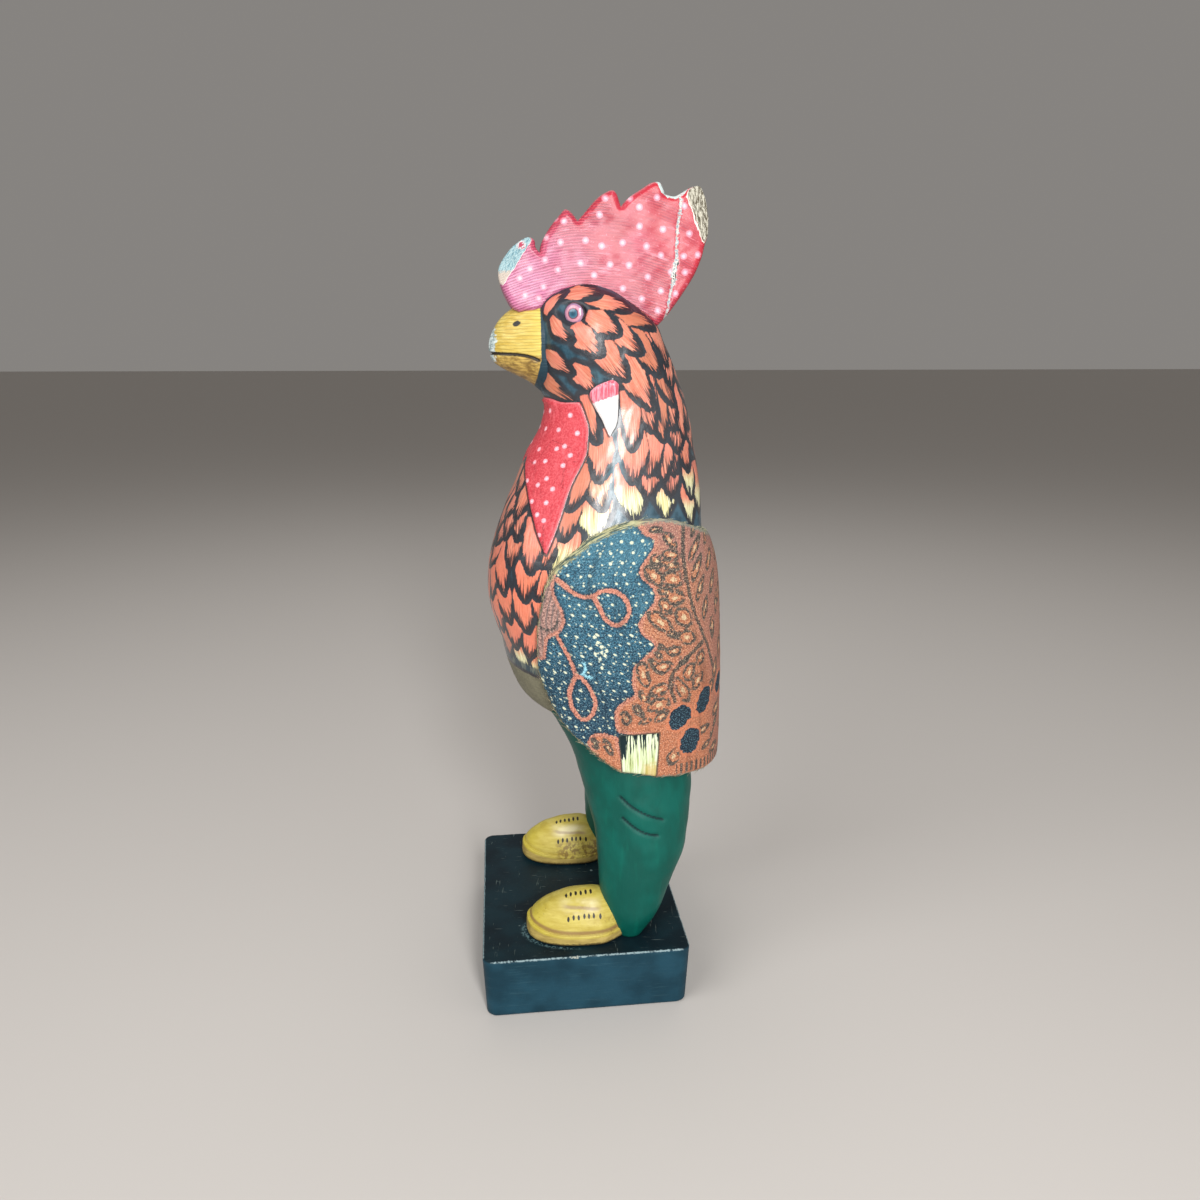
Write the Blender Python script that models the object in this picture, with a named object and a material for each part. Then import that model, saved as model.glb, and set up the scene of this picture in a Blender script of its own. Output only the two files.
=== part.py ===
"""Carved wooden rooster that stands upright in a jacket, trousers and shoes, on a painted block.

The figure faces -Y, its left side is +X and the block stands on Z = 0, centred on the origin.
Its outlines are drawn in millimetres as (y, z) points seen from its left side. The drawing has
the soles at DRAWN_SOLE and the top of the comb at DRAWN_TOP, and FIGURE_HEIGHT sets its real size.
"""

import math

import bmesh
import bpy
import numpy as np
from mathutils import Matrix, Vector

# Driving dimensions, in metres. The block is as large as the shoes need, with a border around.
FIGURE_HEIGHT = 0.3128
PLINTH_SIDE_BORDER = 0.0061
PLINTH_TOE_BORDER = 0.0195
PLINTH_HEEL_BORDER = 0.0175
PLINTH_HEIGHT = 0.028
PLINTH_CORNER = 0.0045
PLINTH_EDGE = 0.0011
PLINTH_TAPER = 0.0012
SEAT_GAP = 0.0003

# The drawing's own levels and relief heights, in millimetres of the drawing.
DRAWN_SOLE = 28.3
DRAWN_TOP = 341.1
WATTLE_RELIEF = 1.7
EARLOBE_RELIEF = 1.5
SLEEVE_RECESS = 0.8
GROOVE_WIDTH = 1.1
GROOVE_DEPTH = 0.9
GROOVE_CLEAR = 4.0
GROOVE_POINT = 0.25
SIDE_REACH = 60.0

# Segments around the figure's parts.
BODY_SEGMENTS = 52
LEG_SEGMENTS = 20
SHOE_SEGMENTS = 22
BEAK_SEGMENTS = 20

# Neck and trunk: (z, front y), (z, back y) and (z, half width), crown last.
TRUNK_FRONT = [
    (119, -9), (121, -16), (126, -22), (131, -25.2), (139, -28.3), (146, -30.4), (157, -32.8),
    (165, -35.4), (173, -37.4), (182, -37.9), (189, -37.3), (197, -35.6), (206, -32.6),
    (216, -28.8), (225, -24.8), (232, -21.5), (238, -17.6), (246, -12.9), (252, -10.9),
    (256, -10.7), (258.5, -12), (261.5, -13.8), (265, -13.6), (272, -13.4), (282, -14),
    (290, -15.4), (294, -15), (298, -12.2), (301, -7), (303.5, -2), (306, 4),
]
TRUNK_BACK = [
    (119, 38), (125, 46), (135, 51), (150, 54.5), (170, 56), (190, 55.5), (205, 54.7),
    (213, 54.2), (223, 53.4), (236, 51.1), (249, 48.6), (256, 47), (264, 44.2), (273, 40.6),
    (281, 37), (288, 33.6), (293, 28.5), (298, 21.5), (302, 15), (306, 8),
]
TRUNK_WIDTH = [
    (119, 24), (122, 30), (127, 34.5), (135, 37.8), (150, 40.3), (165, 41.2), (180, 40.8),
    (190, 39.5), (200, 37.4), (210, 34.6), (220, 31.2), (230, 27.8), (240, 24.4), (250, 22.1),
    (256, 21.6), (262, 22), (268, 23.2), (276, 24), (284, 23.3), (290, 21.4), (294, 18.8),
    (298, 14.6), (301, 10.8), (304, 6.5), (306, 3),
]
# Cheeks: a rounded form that overhangs the throat along the jaw.
CHEEK_CENTRE = (6.4, 279.8)
CHEEK_REACH = (25, 20.8, 22.9)
CHEEK_BLEND = 2.2
ROUNDNESS = 2.25
TRUNK_LEVELS = [
    119, 120.5, 123, 127.5, 134, 142, 152, 163, 173, 183, 192, 200, 207, 214, 221, 228, 234, 239,
    244, 249, 253, 256.5, 259, 261.5, 264.5, 268, 272, 277, 282, 287, 291, 294.5, 297.5, 300,
    302.2, 304, 305.4,
]
# Jacket: (z, back y) and (z, half width), and how far it stands in front of the chest.
JACKET_BACK = [
    (98, 64.4), (121, 64.6), (150, 64.1), (170, 63.3), (182, 62.4), (190, 61.4), (197, 59.6),
    (203, 57.3), (209, 54.8), (214, 52.6),
]
JACKET_WIDTH = [
    (98, 43), (120, 43.6), (135, 44.2), (150, 44.8), (165, 45), (180, 44.4), (190, 43),
    (198, 40.9), (204, 38.6), (210, 36), (214, 34.2),
]
JACKET_PROUD = 2.6
JACKET_CHEST_LEVEL = 140
JACKET_ROUNDNESS = 2.35
JACKET_LEVELS = [98, 110, 123, 137, 152, 166, 178, 187, 194, 200, 205, 210, 214]
# Jacket seen from its side, from the front corner of the neck round the back and the hem.
JACKET_TOP = [
    (-13.1, 193.3), (-9.3, 197.3), (-3.4, 201.6), (2.4, 206), (8.3, 208.8), (14.1, 210.9),
    (20, 212.2), (28, 212.8), (36.2, 212), (45, 209), (52, 205.8), (60, 201.5), (75, 199),
]
JACKET_HEM = [
    (75, 101.5), (56, 102), (46.3, 103), (38.6, 103.5), (30.6, 104.5), (25, 105.7), (18.6, 107),
    (15.5, 107.5),
]
JACKET_FRONT = [
    (9.9, 111.3), (3.6, 116.7), (-3.3, 122.9), (-9.4, 129.8), (-13.9, 137.4), (-17.2, 145.6),
    (-18.9, 152.1), (-19.3, 161.6), (-18.9, 170.9), (-17.3, 180.1), (-15.3, 187.7),
]
SLEEVE_END = [(14.1, 125), (31.1, 125), (29.9, 98), (16.5, 98)]

# Comb seen from its side: three whole points, a broken front tip and a chipped top.
COMB_OUTLINE = [
    (-22, 292), (-24.8, 293.9), (-28.3, 300.5), (-29.7, 306.6), (-28.4, 311.2), (-24.2, 316.6),
    (-20.1, 319.3), (-17.7, 320), (-15.3, 319), (-14.9, 316.3), (-13.3, 314.4), (-12.1, 319),
    (-8.7, 324.3), (-5.4, 328.1), (-3, 330.5), (-0.6, 329.3), (1.8, 326.4), (4.3, 329),
    (8.3, 333.5), (11.6, 336.2), (15.2, 337.8), (17.2, 336.7), (18.9, 331.9), (22.2, 335.3),
    (27, 338.4), (31.1, 340.8), (34.3, 341.1), (35.6, 339.2), (36.5, 336.7), (40.2, 336),
    (43.4, 337.5), (46.3, 339.1), (50.8, 340.3), (52.5, 338), (53.9, 333.6), (54.3, 328.3),
    (53.9, 322.1), (52.7, 318.3), (51.2, 312.8), (48.4, 306.5), (44.3, 300.2), (40.2, 294.6),
    (37, 290.5), (33, 286.5), (26, 291), (18.5, 296), (10, 299.3), (2, 300.3), (-4, 299.5),
    (-9, 296.8), (-13.8, 292.8),
]
COMB_HALF_TOP = 4.8
COMB_HALF_BASE = 9.6
COMB_BASE_LEVEL = 292.0
COMB_ROUNDING = 2.2
CRACK = [(41.9, 337.5), (42.4, 332.5), (41.4, 325), (40.8, 312), (39.6, 303.9), (37.6, 292)]
# Chips: (point on the broken face, direction the face looks), as (x, y, z).
FRONT_CHIP = ((3.6, -24.3, 312.1), (0.52, -0.68, 0.52))
REAR_CHIP = ((5.2, 50.2, 327), (0.82, 0.56, 0.10))
CHIP_REACH = 13.0

# Beak: (z, front y) and (z, half width at its root).
BEAK_FRONT = [
    (261.5, -14), (264.5, -17.4), (266.5, -20.8), (268.3, -24.6), (270.3, -28.7), (272.6, -32.2),
    (275.4, -33.9), (278, -34.3), (281, -34.1), (284.8, -32.7), (288.3, -30.6), (291.2, -27.9),
    (293.7, -24.6), (296.5, -19),
]
BEAK_WIDTH = [
    (261.5, 5), (264.5, 8.6), (268, 11), (272, 12.4), (278, 13), (284, 12.8), (289, 11.6),
    (293.7, 9.2), (296.5, 5),
]
BEAK_LEVELS = [261.5, 264, 266.5, 269, 272, 275.2, 279, 283, 287, 290.5, 293.5, 296.5]
BEAK_ROOT = -6.0
MOUTH = [(-36, 276.3), (-32.5, 276.2), (-28, 276), (-22, 275.6), (-18, 274.8), (-14.6, 273.4)]

EYE_CENTRE = (-1.6, 291)
EYE_TILT = -18.0
# Half sizes of the hollow and of the eyeball: outwards, along and up, and how deep each is set.
EYE_HOLLOW = (2.3, 8.6, 4.9)
HOLLOW_SET = -0.5
EYEBALL = (1.6, 4.3, 4.3)
EYEBALL_SET = 1.45

WATTLE_OUTLINE = [
    (-25, 258.5), (-12, 258.7), (-6, 257.2), (0.9, 257.3), (2.6, 252.6), (3.8, 247.5),
    (3.4, 242.7), (2.6, 237.6), (-0.3, 232), (-3.2, 226.7), (-6.5, 218.6), (-10.3, 208.4),
    (-14.2, 199.4), (-17.3, 208), (-19.4, 217.5), (-20.4, 227), (-20.4, 232), (-19.4, 238),
    (-25, 243),
]
EARLOBE_OUTLINE = [
    (4.8, 260.4), (6.4, 263), (9.9, 264.9), (13.7, 266), (15.7, 264.5), (15.7, 255),
    (15, 249.3), (12.4, 244.7), (9.5, 251.3), (6.8, 255.9),
]

# Trouser leg: (z, front y), (z, back y), (z, inner x) and (z, outer x).
LEG_FRONT = [
    (28.3, 13.5), (34, 10.5), (41, 8.4), (48, 7.4), (59, 6.8), (68, 6.2), (77, 5.2), (84, 3.4),
    (90, 2), (98, -0.3), (108, -3), (115, -5.5), (124, -9.4),
]
LEG_BACK = [
    (28.3, 26.5), (36, 32.6), (44, 36.2), (51, 38.8), (59, 42.3), (66, 45), (76, 46.9),
    (86, 48.3), (92, 49), (100, 49), (124, 44),
]
LEG_INNER = [
    (28.3, 22), (36, 20.6), (46, 19.2), (58, 16.8), (70, 13), (80, 8.8), (88, 4.6), (94, 0.8),
    (100, -3), (124, -6),
]
LEG_OUTER = [(28.3, 42.5), (36, 44), (48, 44.3), (60, 44), (75, 43), (90, 41.6), (124, 38)]
LEG_LEVELS = [28.3, 32, 38, 46, 55, 64, 73, 82, 90, 97, 106, 124]
LEG_ROUNDNESS = 2.3
TROUSER_FOLDS = [
    [(16.5, 95.8), (20.2, 92.2), (23.7, 89.6), (28, 88), (35.5, 86.5)],
    [(17.5, 86.2), (21.2, 82.2), (24.7, 80.1), (29, 78.8), (35.5, 77.9)],
]

# Shoe: its place, its plan and the levels of its welt and ridge.
SHOE_X = 32.4
SHOE_Y = 1.0
SHOE_HALF_WIDTH = 14.4
SHOE_HALF_LENGTH = 26.4
SHOE_ROUNDNESS = 2.35
WELT_SIDE = 32.8
WELT_TOE = 36.2
RIDGE = 48.4
WELT_SHARE = 0.985
WELT_LEDGE = 0.075
SOLE_EDGE = 1.2
TOE_SPRING = 2.2
DOME_POWER = 1.6
# Each ring's share of the plan, and which level it follows.
SHOE_STEPS = [
    (0.93, "sole"), (1.0, "edge"), (WELT_SHARE, "welt"), (WELT_SHARE - WELT_LEDGE, "welt"),
    (0.84, "dome"), (0.72, "dome"), (0.55, "dome"), (0.35, "dome"), (0.12, "dome"),
]

COLOURS = {
    "rooster": (0.62, 0.24, 0.17, 1.0),
    "plinth": (0.028, 0.062, 0.080, 1.0),
}

SCALE = FIGURE_HEIGHT / (DRAWN_TOP - DRAWN_SOLE)
SOLE_LEVEL = PLINTH_HEIGHT + SEAT_GAP
PLINTH_WIDTH = 2 * ((SHOE_X + SHOE_HALF_WIDTH) * SCALE + PLINTH_SIDE_BORDER)
PLINTH_DEPTH = 2 * SHOE_HALF_LENGTH * SCALE + PLINTH_TOE_BORDER + PLINTH_HEEL_BORDER
FIGURE_Y = (PLINTH_TOE_BORDER - PLINTH_HEEL_BORDER) / 2 - SHOE_Y * SCALE


def clear_scene():
    for old in list(bpy.data.objects):
        bpy.data.objects.remove(old)


def place(x, y, z):
    """Millimetres of the drawing to metres on the block."""
    return Vector((x * SCALE, FIGURE_Y + y * SCALE, SOLE_LEVEL + (z - DRAWN_SOLE) * SCALE))


def smooth(points, at):
    """Value at one position of a smooth curve through rising (position, value) points."""
    keys = np.array(points, dtype=float)
    position, value = keys[:, 0], keys[:, 1]
    slopes = np.gradient(value, position)
    i = int(np.clip(np.searchsorted(position, at) - 1, 0, len(position) - 2))
    span = position[i + 1] - position[i]
    t = min(max((at - position[i]) / span, 0.0), 1.0)
    before, after = 2 * t**3 - 3 * t**2 + 1, 3 * t**2 - 2 * t**3
    leave, arrive = (t**3 - 2 * t**2 + t) * span, (t**3 - t**2) * span
    return before * value[i] + after * value[i + 1] + leave * slopes[i] + arrive * slopes[i + 1]


def mesh_object(name, points, faces):
    mesh = bpy.data.meshes.new(name)
    mesh.from_pydata([place(*p) for p in points], [], faces)
    mesh.update()
    body = bpy.data.objects.new(name, mesh)
    bpy.context.collection.objects.link(body)
    return body


def loft(name, rings):
    """A closed skin through rings of the same number of points, lowest ring first."""
    count = len(rings[0])
    points = [p for ring in rings for p in ring]
    faces = [tuple(reversed(range(count)))]
    for level in range(len(rings) - 1):
        low, high = level * count, (level + 1) * count
        for k in range(count):
            after = (k + 1) % count
            faces.append((low + k, low + after, high + after, high + k))
    faces.append(tuple(range(len(points) - count, len(points))))
    return mesh_object(name, points, faces)


def anticlockwise(outline):
    area = sum(a[0] * b[1] - b[0] * a[1] for a, b in zip(outline, outline[1:] + outline[:1]))
    return outline if area > 0 else outline[::-1]


def prism(name, outline, low_x=lambda y, z: -SIDE_REACH, high_x=lambda y, z: SIDE_REACH):
    """A side outline of (y, z) points made a solid between two sheets of x."""
    ordered = anticlockwise(outline)
    return loft(name, [[(x(y, z), y, z) for y, z in ordered] for x in (low_x, high_x)])


def boolean(body, tool, operation):
    """Join or cut the body with the tool, keep the result and drop the tool."""
    step = body.modifiers.new(operation.title(), "BOOLEAN")
    step.operation = operation
    step.solver = "EXACT"
    step.object = tool
    bpy.context.view_layer.update()
    shaped = body.evaluated_get(bpy.context.evaluated_depsgraph_get())
    whole = bpy.data.meshes.new_from_object(shaped)
    body.modifiers.clear()
    body.data = whole
    bpy.data.objects.remove(tool)
    return body


def reach(angle, axis_y, front, back, half_width, power):
    """Distance from (0, axis_y) to an oval's edge, in the direction of the angle from -Y."""
    across, along = math.sin(angle), -math.cos(angle)
    middle, half = (front + back) / 2, (back - front) / 2
    near, far = 0.0, 2 * (half + half_width)
    for _ in range(40):
        r = (near + far) / 2
        x, y = r * across, axis_y + r * along - middle
        inside = abs(x / half_width) ** power + abs(y / half) ** power < 1
        near, far = (r, far) if inside else (near, r)
    return near


def trunk_ring(z, extra=0.0):
    """Points round neck, head or chest at one level, with the cheeks where they stand proud."""
    front, back = smooth(TRUNK_FRONT, z) - extra, smooth(TRUNK_BACK, z) + extra
    width = smooth(TRUNK_WIDTH, z) + extra
    axis_y = (front + back) / 2
    wide, deep, tall = (value + extra for value in CHEEK_REACH)
    slant = 1 - abs((z - CHEEK_CENTRE[1]) / tall) ** ROUNDNESS
    ring = []
    for k in range(BODY_SEGMENTS):
        angle = math.tau * k / BODY_SEGMENTS
        r = reach(angle, axis_y, front, back, width, ROUNDNESS)
        if slant > 0:
            shrink = slant ** (1 / ROUNDNESS)
            y = CHEEK_CENTRE[0]
            cheek_front, cheek_back = y - deep * shrink, y + deep * shrink
            if cheek_front < axis_y < cheek_back:
                cheek = reach(angle, axis_y, cheek_front, cheek_back, wide * shrink, ROUNDNESS)
                r = blend_out(r, cheek, CHEEK_BLEND)
        ring.append((r * math.sin(angle), axis_y - r * math.cos(angle), z))
    return ring


def blend_out(a, b, width):
    """The larger of two distances, with a soft hollow where they are nearly the same."""
    share = min(max(0.5 + (a - b) / (2 * width), 0.0), 1.0)
    return b + (a - b) * share + width * share * (1 - share) / 2


def trunk(name, levels, extra=0.0):
    return loft(name, [trunk_ring(z, extra) for z in levels])


def trunk_skin(y, z):
    """Where the trunk's left side is at a side point, and the direction that it faces."""
    left = [p for p in trunk_ring(z) if p[0] > 0]
    for near, far in zip(left, left[1:]):
        if min(near[1], far[1]) <= y <= max(near[1], far[1]):
            share = (y - near[1]) / (far[1] - near[1])
            facing = Vector((far[1] - near[1], near[0] - far[0], 0)).normalized()
            return near[0] + (far[0] - near[0]) * share, facing
    raise ValueError("the side point is off the trunk")


def jacket_ring(z, inset=0.0):
    front = smooth(TRUNK_FRONT, max(z, JACKET_CHEST_LEVEL)) - JACKET_PROUD + inset
    back, width = smooth(JACKET_BACK, z) - inset, smooth(JACKET_WIDTH, z) - inset
    axis_y = (front + back) / 2
    ring = []
    for k in range(BODY_SEGMENTS):
        angle = math.tau * k / BODY_SEGMENTS
        r = reach(angle, axis_y, front, back, width, JACKET_ROUNDNESS)
        ring.append((r * math.sin(angle), axis_y - r * math.cos(angle), z))
    return ring


def jacket(name, inset=0.0):
    return loft(name, [jacket_ring(z, inset) for z in JACKET_LEVELS])


def make_jacket():
    """The jacket: a shell form cut to its side outline, with the two sleeve ends let in."""
    outline = JACKET_TOP + JACKET_HEM + JACKET_FRONT
    coat = boolean(jacket("jacket"), prism("jacket_side", outline), "INTERSECT")
    recess = prism("sleeve_ends", SLEEVE_END)
    boolean(recess, jacket("jacket_inner", SLEEVE_RECESS), "DIFFERENCE")
    return boolean(coat, recess, "DIFFERENCE")


def make_relief(name, outline, relief):
    """A raised patch that follows the trunk, with the given side outline."""
    below = max(level for level in TRUNK_LEVELS if level < min(z for _, z in outline))
    above = min(level for level in TRUNK_LEVELS if level > max(z for _, z in outline))
    levels = [level for level in TRUNK_LEVELS if below <= level <= above]
    return boolean(trunk(name, levels, relief), prism(name, outline), "INTERSECT")


def comb_half(z):
    """Half the comb's thickness at one level."""
    share = (z - COMB_BASE_LEVEL) / (DRAWN_TOP - COMB_BASE_LEVEL)
    return COMB_HALF_BASE + (COMB_HALF_TOP - COMB_HALF_BASE) * share


def round_rim(body, width, segments):
    """Bevel every edge between a side face of the comb and its rim."""
    work = bmesh.new()
    work.from_mesh(body.data)
    rim = [e for e in work.edges if abs(e.verts[0].co.x + e.verts[1].co.x) > 0
           and e.verts[0].co.x * e.verts[1].co.x > 0]
    bmesh.ops.bevel(work, geom=rim, offset=width, segments=segments, profile=0.5,
                    affect="EDGES", clamp_overlap=True)
    work.to_mesh(body.data)
    work.free()


def chip_tool(name, point, facing):
    """A block whose lower face is the broken face."""
    size = CHIP_REACH
    corners = [(x, y, z) for z in (0, size) for x, y in
               ((-size, -size), (size, -size), (size, size), (-size, size))]
    faces = [(3, 2, 1, 0), (4, 5, 6, 7), (0, 1, 5, 4), (1, 2, 6, 5), (2, 3, 7, 6), (3, 0, 4, 7)]
    turn = Vector(facing).to_track_quat("Z", "Y").to_matrix()
    points = [tuple(turn @ Vector(c) + Vector(point)) for c in corners]
    return mesh_object(name, points, faces)


def groove(body, path, surface_x, side):
    """Cut a shallow groove, pointed at both ends, along a side path into one side's surface."""
    upper, lower = [], []
    for i, (y, z) in enumerate(path):
        before, after = path[max(i - 1, 0)], path[min(i + 1, len(path) - 1)]
        run = Vector((after[0] - before[0], after[1] - before[1])).normalized()
        half = GROOVE_WIDTH / 2 * (GROOVE_POINT if i in (0, len(path) - 1) else 1.0)
        upper.append((y - run.y * half, z + run.x * half))
        lower.append((y + run.y * half, z - run.x * half))

    def floor(y, z):
        return side * (surface_x(y, z) - GROOVE_DEPTH)

    def above(y, z):
        return side * (surface_x(y, z) + GROOVE_CLEAR)

    sheets = (floor, above) if side > 0 else (above, floor)
    boolean(body, prism("groove", upper + lower[::-1], *sheets), "DIFFERENCE")


def make_comb():
    comb = prism("comb", COMB_OUTLINE, lambda y, z: -comb_half(z), lambda y, z: comb_half(z))
    round_rim(comb, COMB_ROUNDING * SCALE, 2)
    for point, facing in (FRONT_CHIP, REAR_CHIP):
        boolean(comb, chip_tool("chip", point, facing), "DIFFERENCE")
    for side in (1, -1):
        groove(comb, CRACK, lambda y, z: comb_half(z), side)
    return comb


def beak_half(y, z):
    """Half the beak's thickness at a side point."""
    front, width = smooth(BEAK_FRONT, z), smooth(BEAK_WIDTH, z)
    share = min(max((y - BEAK_ROOT) / (front - BEAK_ROOT), 0.0), 1.0)
    return width * math.sqrt(1 - share**2)


def make_beak():
    rings = []
    for z in BEAK_LEVELS:
        front, width = smooth(BEAK_FRONT, z), smooth(BEAK_WIDTH, z)
        ring = []
        for k in range(BEAK_SEGMENTS):
            angle = math.pi * k / (BEAK_SEGMENTS - 1)
            along = front - BEAK_ROOT
            ring.append((-width * math.cos(angle), BEAK_ROOT + along * math.sin(angle), z))
        rings.append(ring)
    beak = loft("beak", rings)
    for side in (1, -1):
        groove(beak, MOUTH, beak_half, side)
    return beak


def oval(name, side, half_sizes, depth):
    """A flattened ball at the eye, turned to the face's skin and set in by the depth."""
    y, z = EYE_CENTRE
    skin_x, facing = trunk_skin(y, z)
    out = Vector((side * facing.x, facing.y, 0))
    tilt = math.radians(EYE_TILT)
    level = Vector((-side * out.y, side * out.x, 0))
    along = level * math.cos(tilt) + Vector((0, 0, math.sin(tilt)))
    axes = Matrix((out, along, out.cross(along))).transposed()
    work = bmesh.new()
    bmesh.ops.create_uvsphere(work, u_segments=14, v_segments=9, radius=1.0)
    points = []
    for vertex in work.verts:
        local = Vector([c * half for c, half in zip(vertex.co, half_sizes)])
        points.append(tuple(axes @ local - out * depth + Vector((side * skin_x, y, z))))
    faces = [tuple(v.index for v in face.verts) for face in work.faces]
    work.free()
    if axes.determinant() < 0:
        faces = [face[::-1] for face in faces]
    return mesh_object(name, points, faces)


def leg_ring(z, side):
    front, back = smooth(LEG_FRONT, z), smooth(LEG_BACK, z)
    inner, outer = smooth(LEG_INNER, z), smooth(LEG_OUTER, z)
    middle_x, half_x = (inner + outer) / 2, (outer - inner) / 2
    middle_y, half_y = (front + back) / 2, (back - front) / 2
    ring = []
    for k in range(LEG_SEGMENTS):
        angle = math.tau * (k + 0.5) / LEG_SEGMENTS
        across, along = math.sin(angle), -math.cos(angle)
        x = middle_x * side + half_x * math.copysign(abs(across) ** (2 / LEG_ROUNDNESS), across)
        y = middle_y + half_y * math.copysign(abs(along) ** (2 / LEG_ROUNDNESS), along)
        ring.append((x, y, z))
    return ring


def make_leg(side):
    leg = loft("leg", [leg_ring(z, side) for z in LEG_LEVELS])
    for path in TROUSER_FOLDS:
        groove(leg, path, leg_skin, side)
    return leg


def leg_skin(y, z):
    """How far out the trouser leg's outer side is at a side point."""
    front, back = smooth(LEG_FRONT, z), smooth(LEG_BACK, z)
    inner, outer = smooth(LEG_INNER, z), smooth(LEG_OUTER, z)
    share = abs(y - (front + back) / 2) / ((back - front) / 2)
    bulge = max(1 - share**LEG_ROUNDNESS, 0.0) ** (1 / LEG_ROUNDNESS)
    return (inner + outer) / 2 + (outer - inner) / 2 * bulge


def make_shoe(side):
    """Sole, welt step and domed upper, as rings that shrink towards the ridge."""
    rings = []
    for share, kind in SHOE_STEPS:
        ring = []
        for k in range(SHOE_SEGMENTS):
            angle = math.tau * (k + 0.5) / SHOE_SEGMENTS
            across, along = math.sin(angle), -math.cos(angle)
            x = math.copysign(abs(across) ** (2 / SHOE_ROUNDNESS), across) * share
            y = math.copysign(abs(along) ** (2 / SHOE_ROUNDNESS), along) * share
            toe = max(-y, 0.0) ** 3
            welt = WELT_SIDE + (WELT_TOE - WELT_SIDE) * toe
            if kind == "sole":
                z = DRAWN_SOLE
            elif kind == "edge":
                z = DRAWN_SOLE + SOLE_EDGE + TOE_SPRING * toe
            elif kind == "welt":
                z = welt
            else:
                inner = share / (WELT_SHARE - WELT_LEDGE)
                z = welt + (RIDGE - welt) * (1 - inner**DOME_POWER) ** (1 / DOME_POWER)
            ring.append((side * SHOE_X + SHOE_HALF_WIDTH * x, SHOE_Y + SHOE_HALF_LENGTH * y, z))
        rings.append(ring)
    return loft("shoe", rings)


def make_rooster():
    rooster = trunk("rooster", TRUNK_LEVELS)
    for side in (1, -1):
        boolean(rooster, oval("eye_hollow", side, EYE_HOLLOW, HOLLOW_SET), "DIFFERENCE")
        boolean(rooster, oval("eyeball", side, EYEBALL, EYEBALL_SET), "UNION")
    boolean(rooster, make_beak(), "UNION")
    boolean(rooster, make_comb(), "UNION")
    boolean(rooster, make_relief("wattles", WATTLE_OUTLINE, WATTLE_RELIEF), "UNION")
    boolean(rooster, make_relief("earlobes", EARLOBE_OUTLINE, EARLOBE_RELIEF), "UNION")
    trousers = boolean(make_leg(1), make_leg(-1), "UNION")
    for side in (1, -1):
        boolean(trousers, make_shoe(side), "UNION")
    boolean(rooster, trousers, "UNION")
    boolean(rooster, make_jacket(), "UNION")
    return rooster


def make_plinth():
    """A sawn block with rounded corners, a little narrower below, and worn edges."""
    half_x, half_y = PLINTH_WIDTH / 2, PLINTH_DEPTH / 2
    work = bmesh.new()
    bmesh.ops.create_cube(work, size=1.0)
    for vertex in work.verts:
        low = vertex.co.z < 0
        inset = PLINTH_TAPER if low else 0.0
        vertex.co.x = math.copysign(half_x - inset, vertex.co.x)
        vertex.co.y = math.copysign(half_y - inset, vertex.co.y)
        vertex.co.z = 0.0 if low else PLINTH_HEIGHT
    upright = [e for e in work.edges if abs(e.verts[0].co.z - e.verts[1].co.z) > PLINTH_HEIGHT / 2]
    bmesh.ops.bevel(work, geom=upright, offset=PLINTH_CORNER, segments=5, profile=0.5,
                    affect="EDGES")
    rims = [e for e in work.edges if abs(e.verts[0].co.z - e.verts[1].co.z) < PLINTH_EDGE]
    bmesh.ops.bevel(work, geom=rims, offset=PLINTH_EDGE, segments=2, profile=0.5, affect="EDGES")
    mesh = bpy.data.meshes.new("plinth")
    work.to_mesh(mesh)
    work.free()
    plinth = bpy.data.objects.new("plinth", mesh)
    bpy.context.collection.objects.link(plinth)
    return plinth


def finish(body, colour):
    """Paint the body and shade it smooth between its sharp edges."""
    paint = bpy.data.materials.new(body.name)
    paint.use_nodes = True
    shader = paint.node_tree.nodes["Principled BSDF"]
    shader.inputs["Base Color"].default_value = colour
    shader.inputs["Roughness"].default_value = 0.45
    shader.inputs["Metallic"].default_value = 0.0
    body.data.materials.clear()
    body.data.materials.append(paint)
    body.data.shade_smooth()
    body.data.set_sharp_from_angle(angle=math.radians(40))


def main():
    clear_scene()
    for body in (make_plinth(), make_rooster()):
        body.data.name = body.name
        finish(body, COLOURS[body.name])


main()
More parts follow.
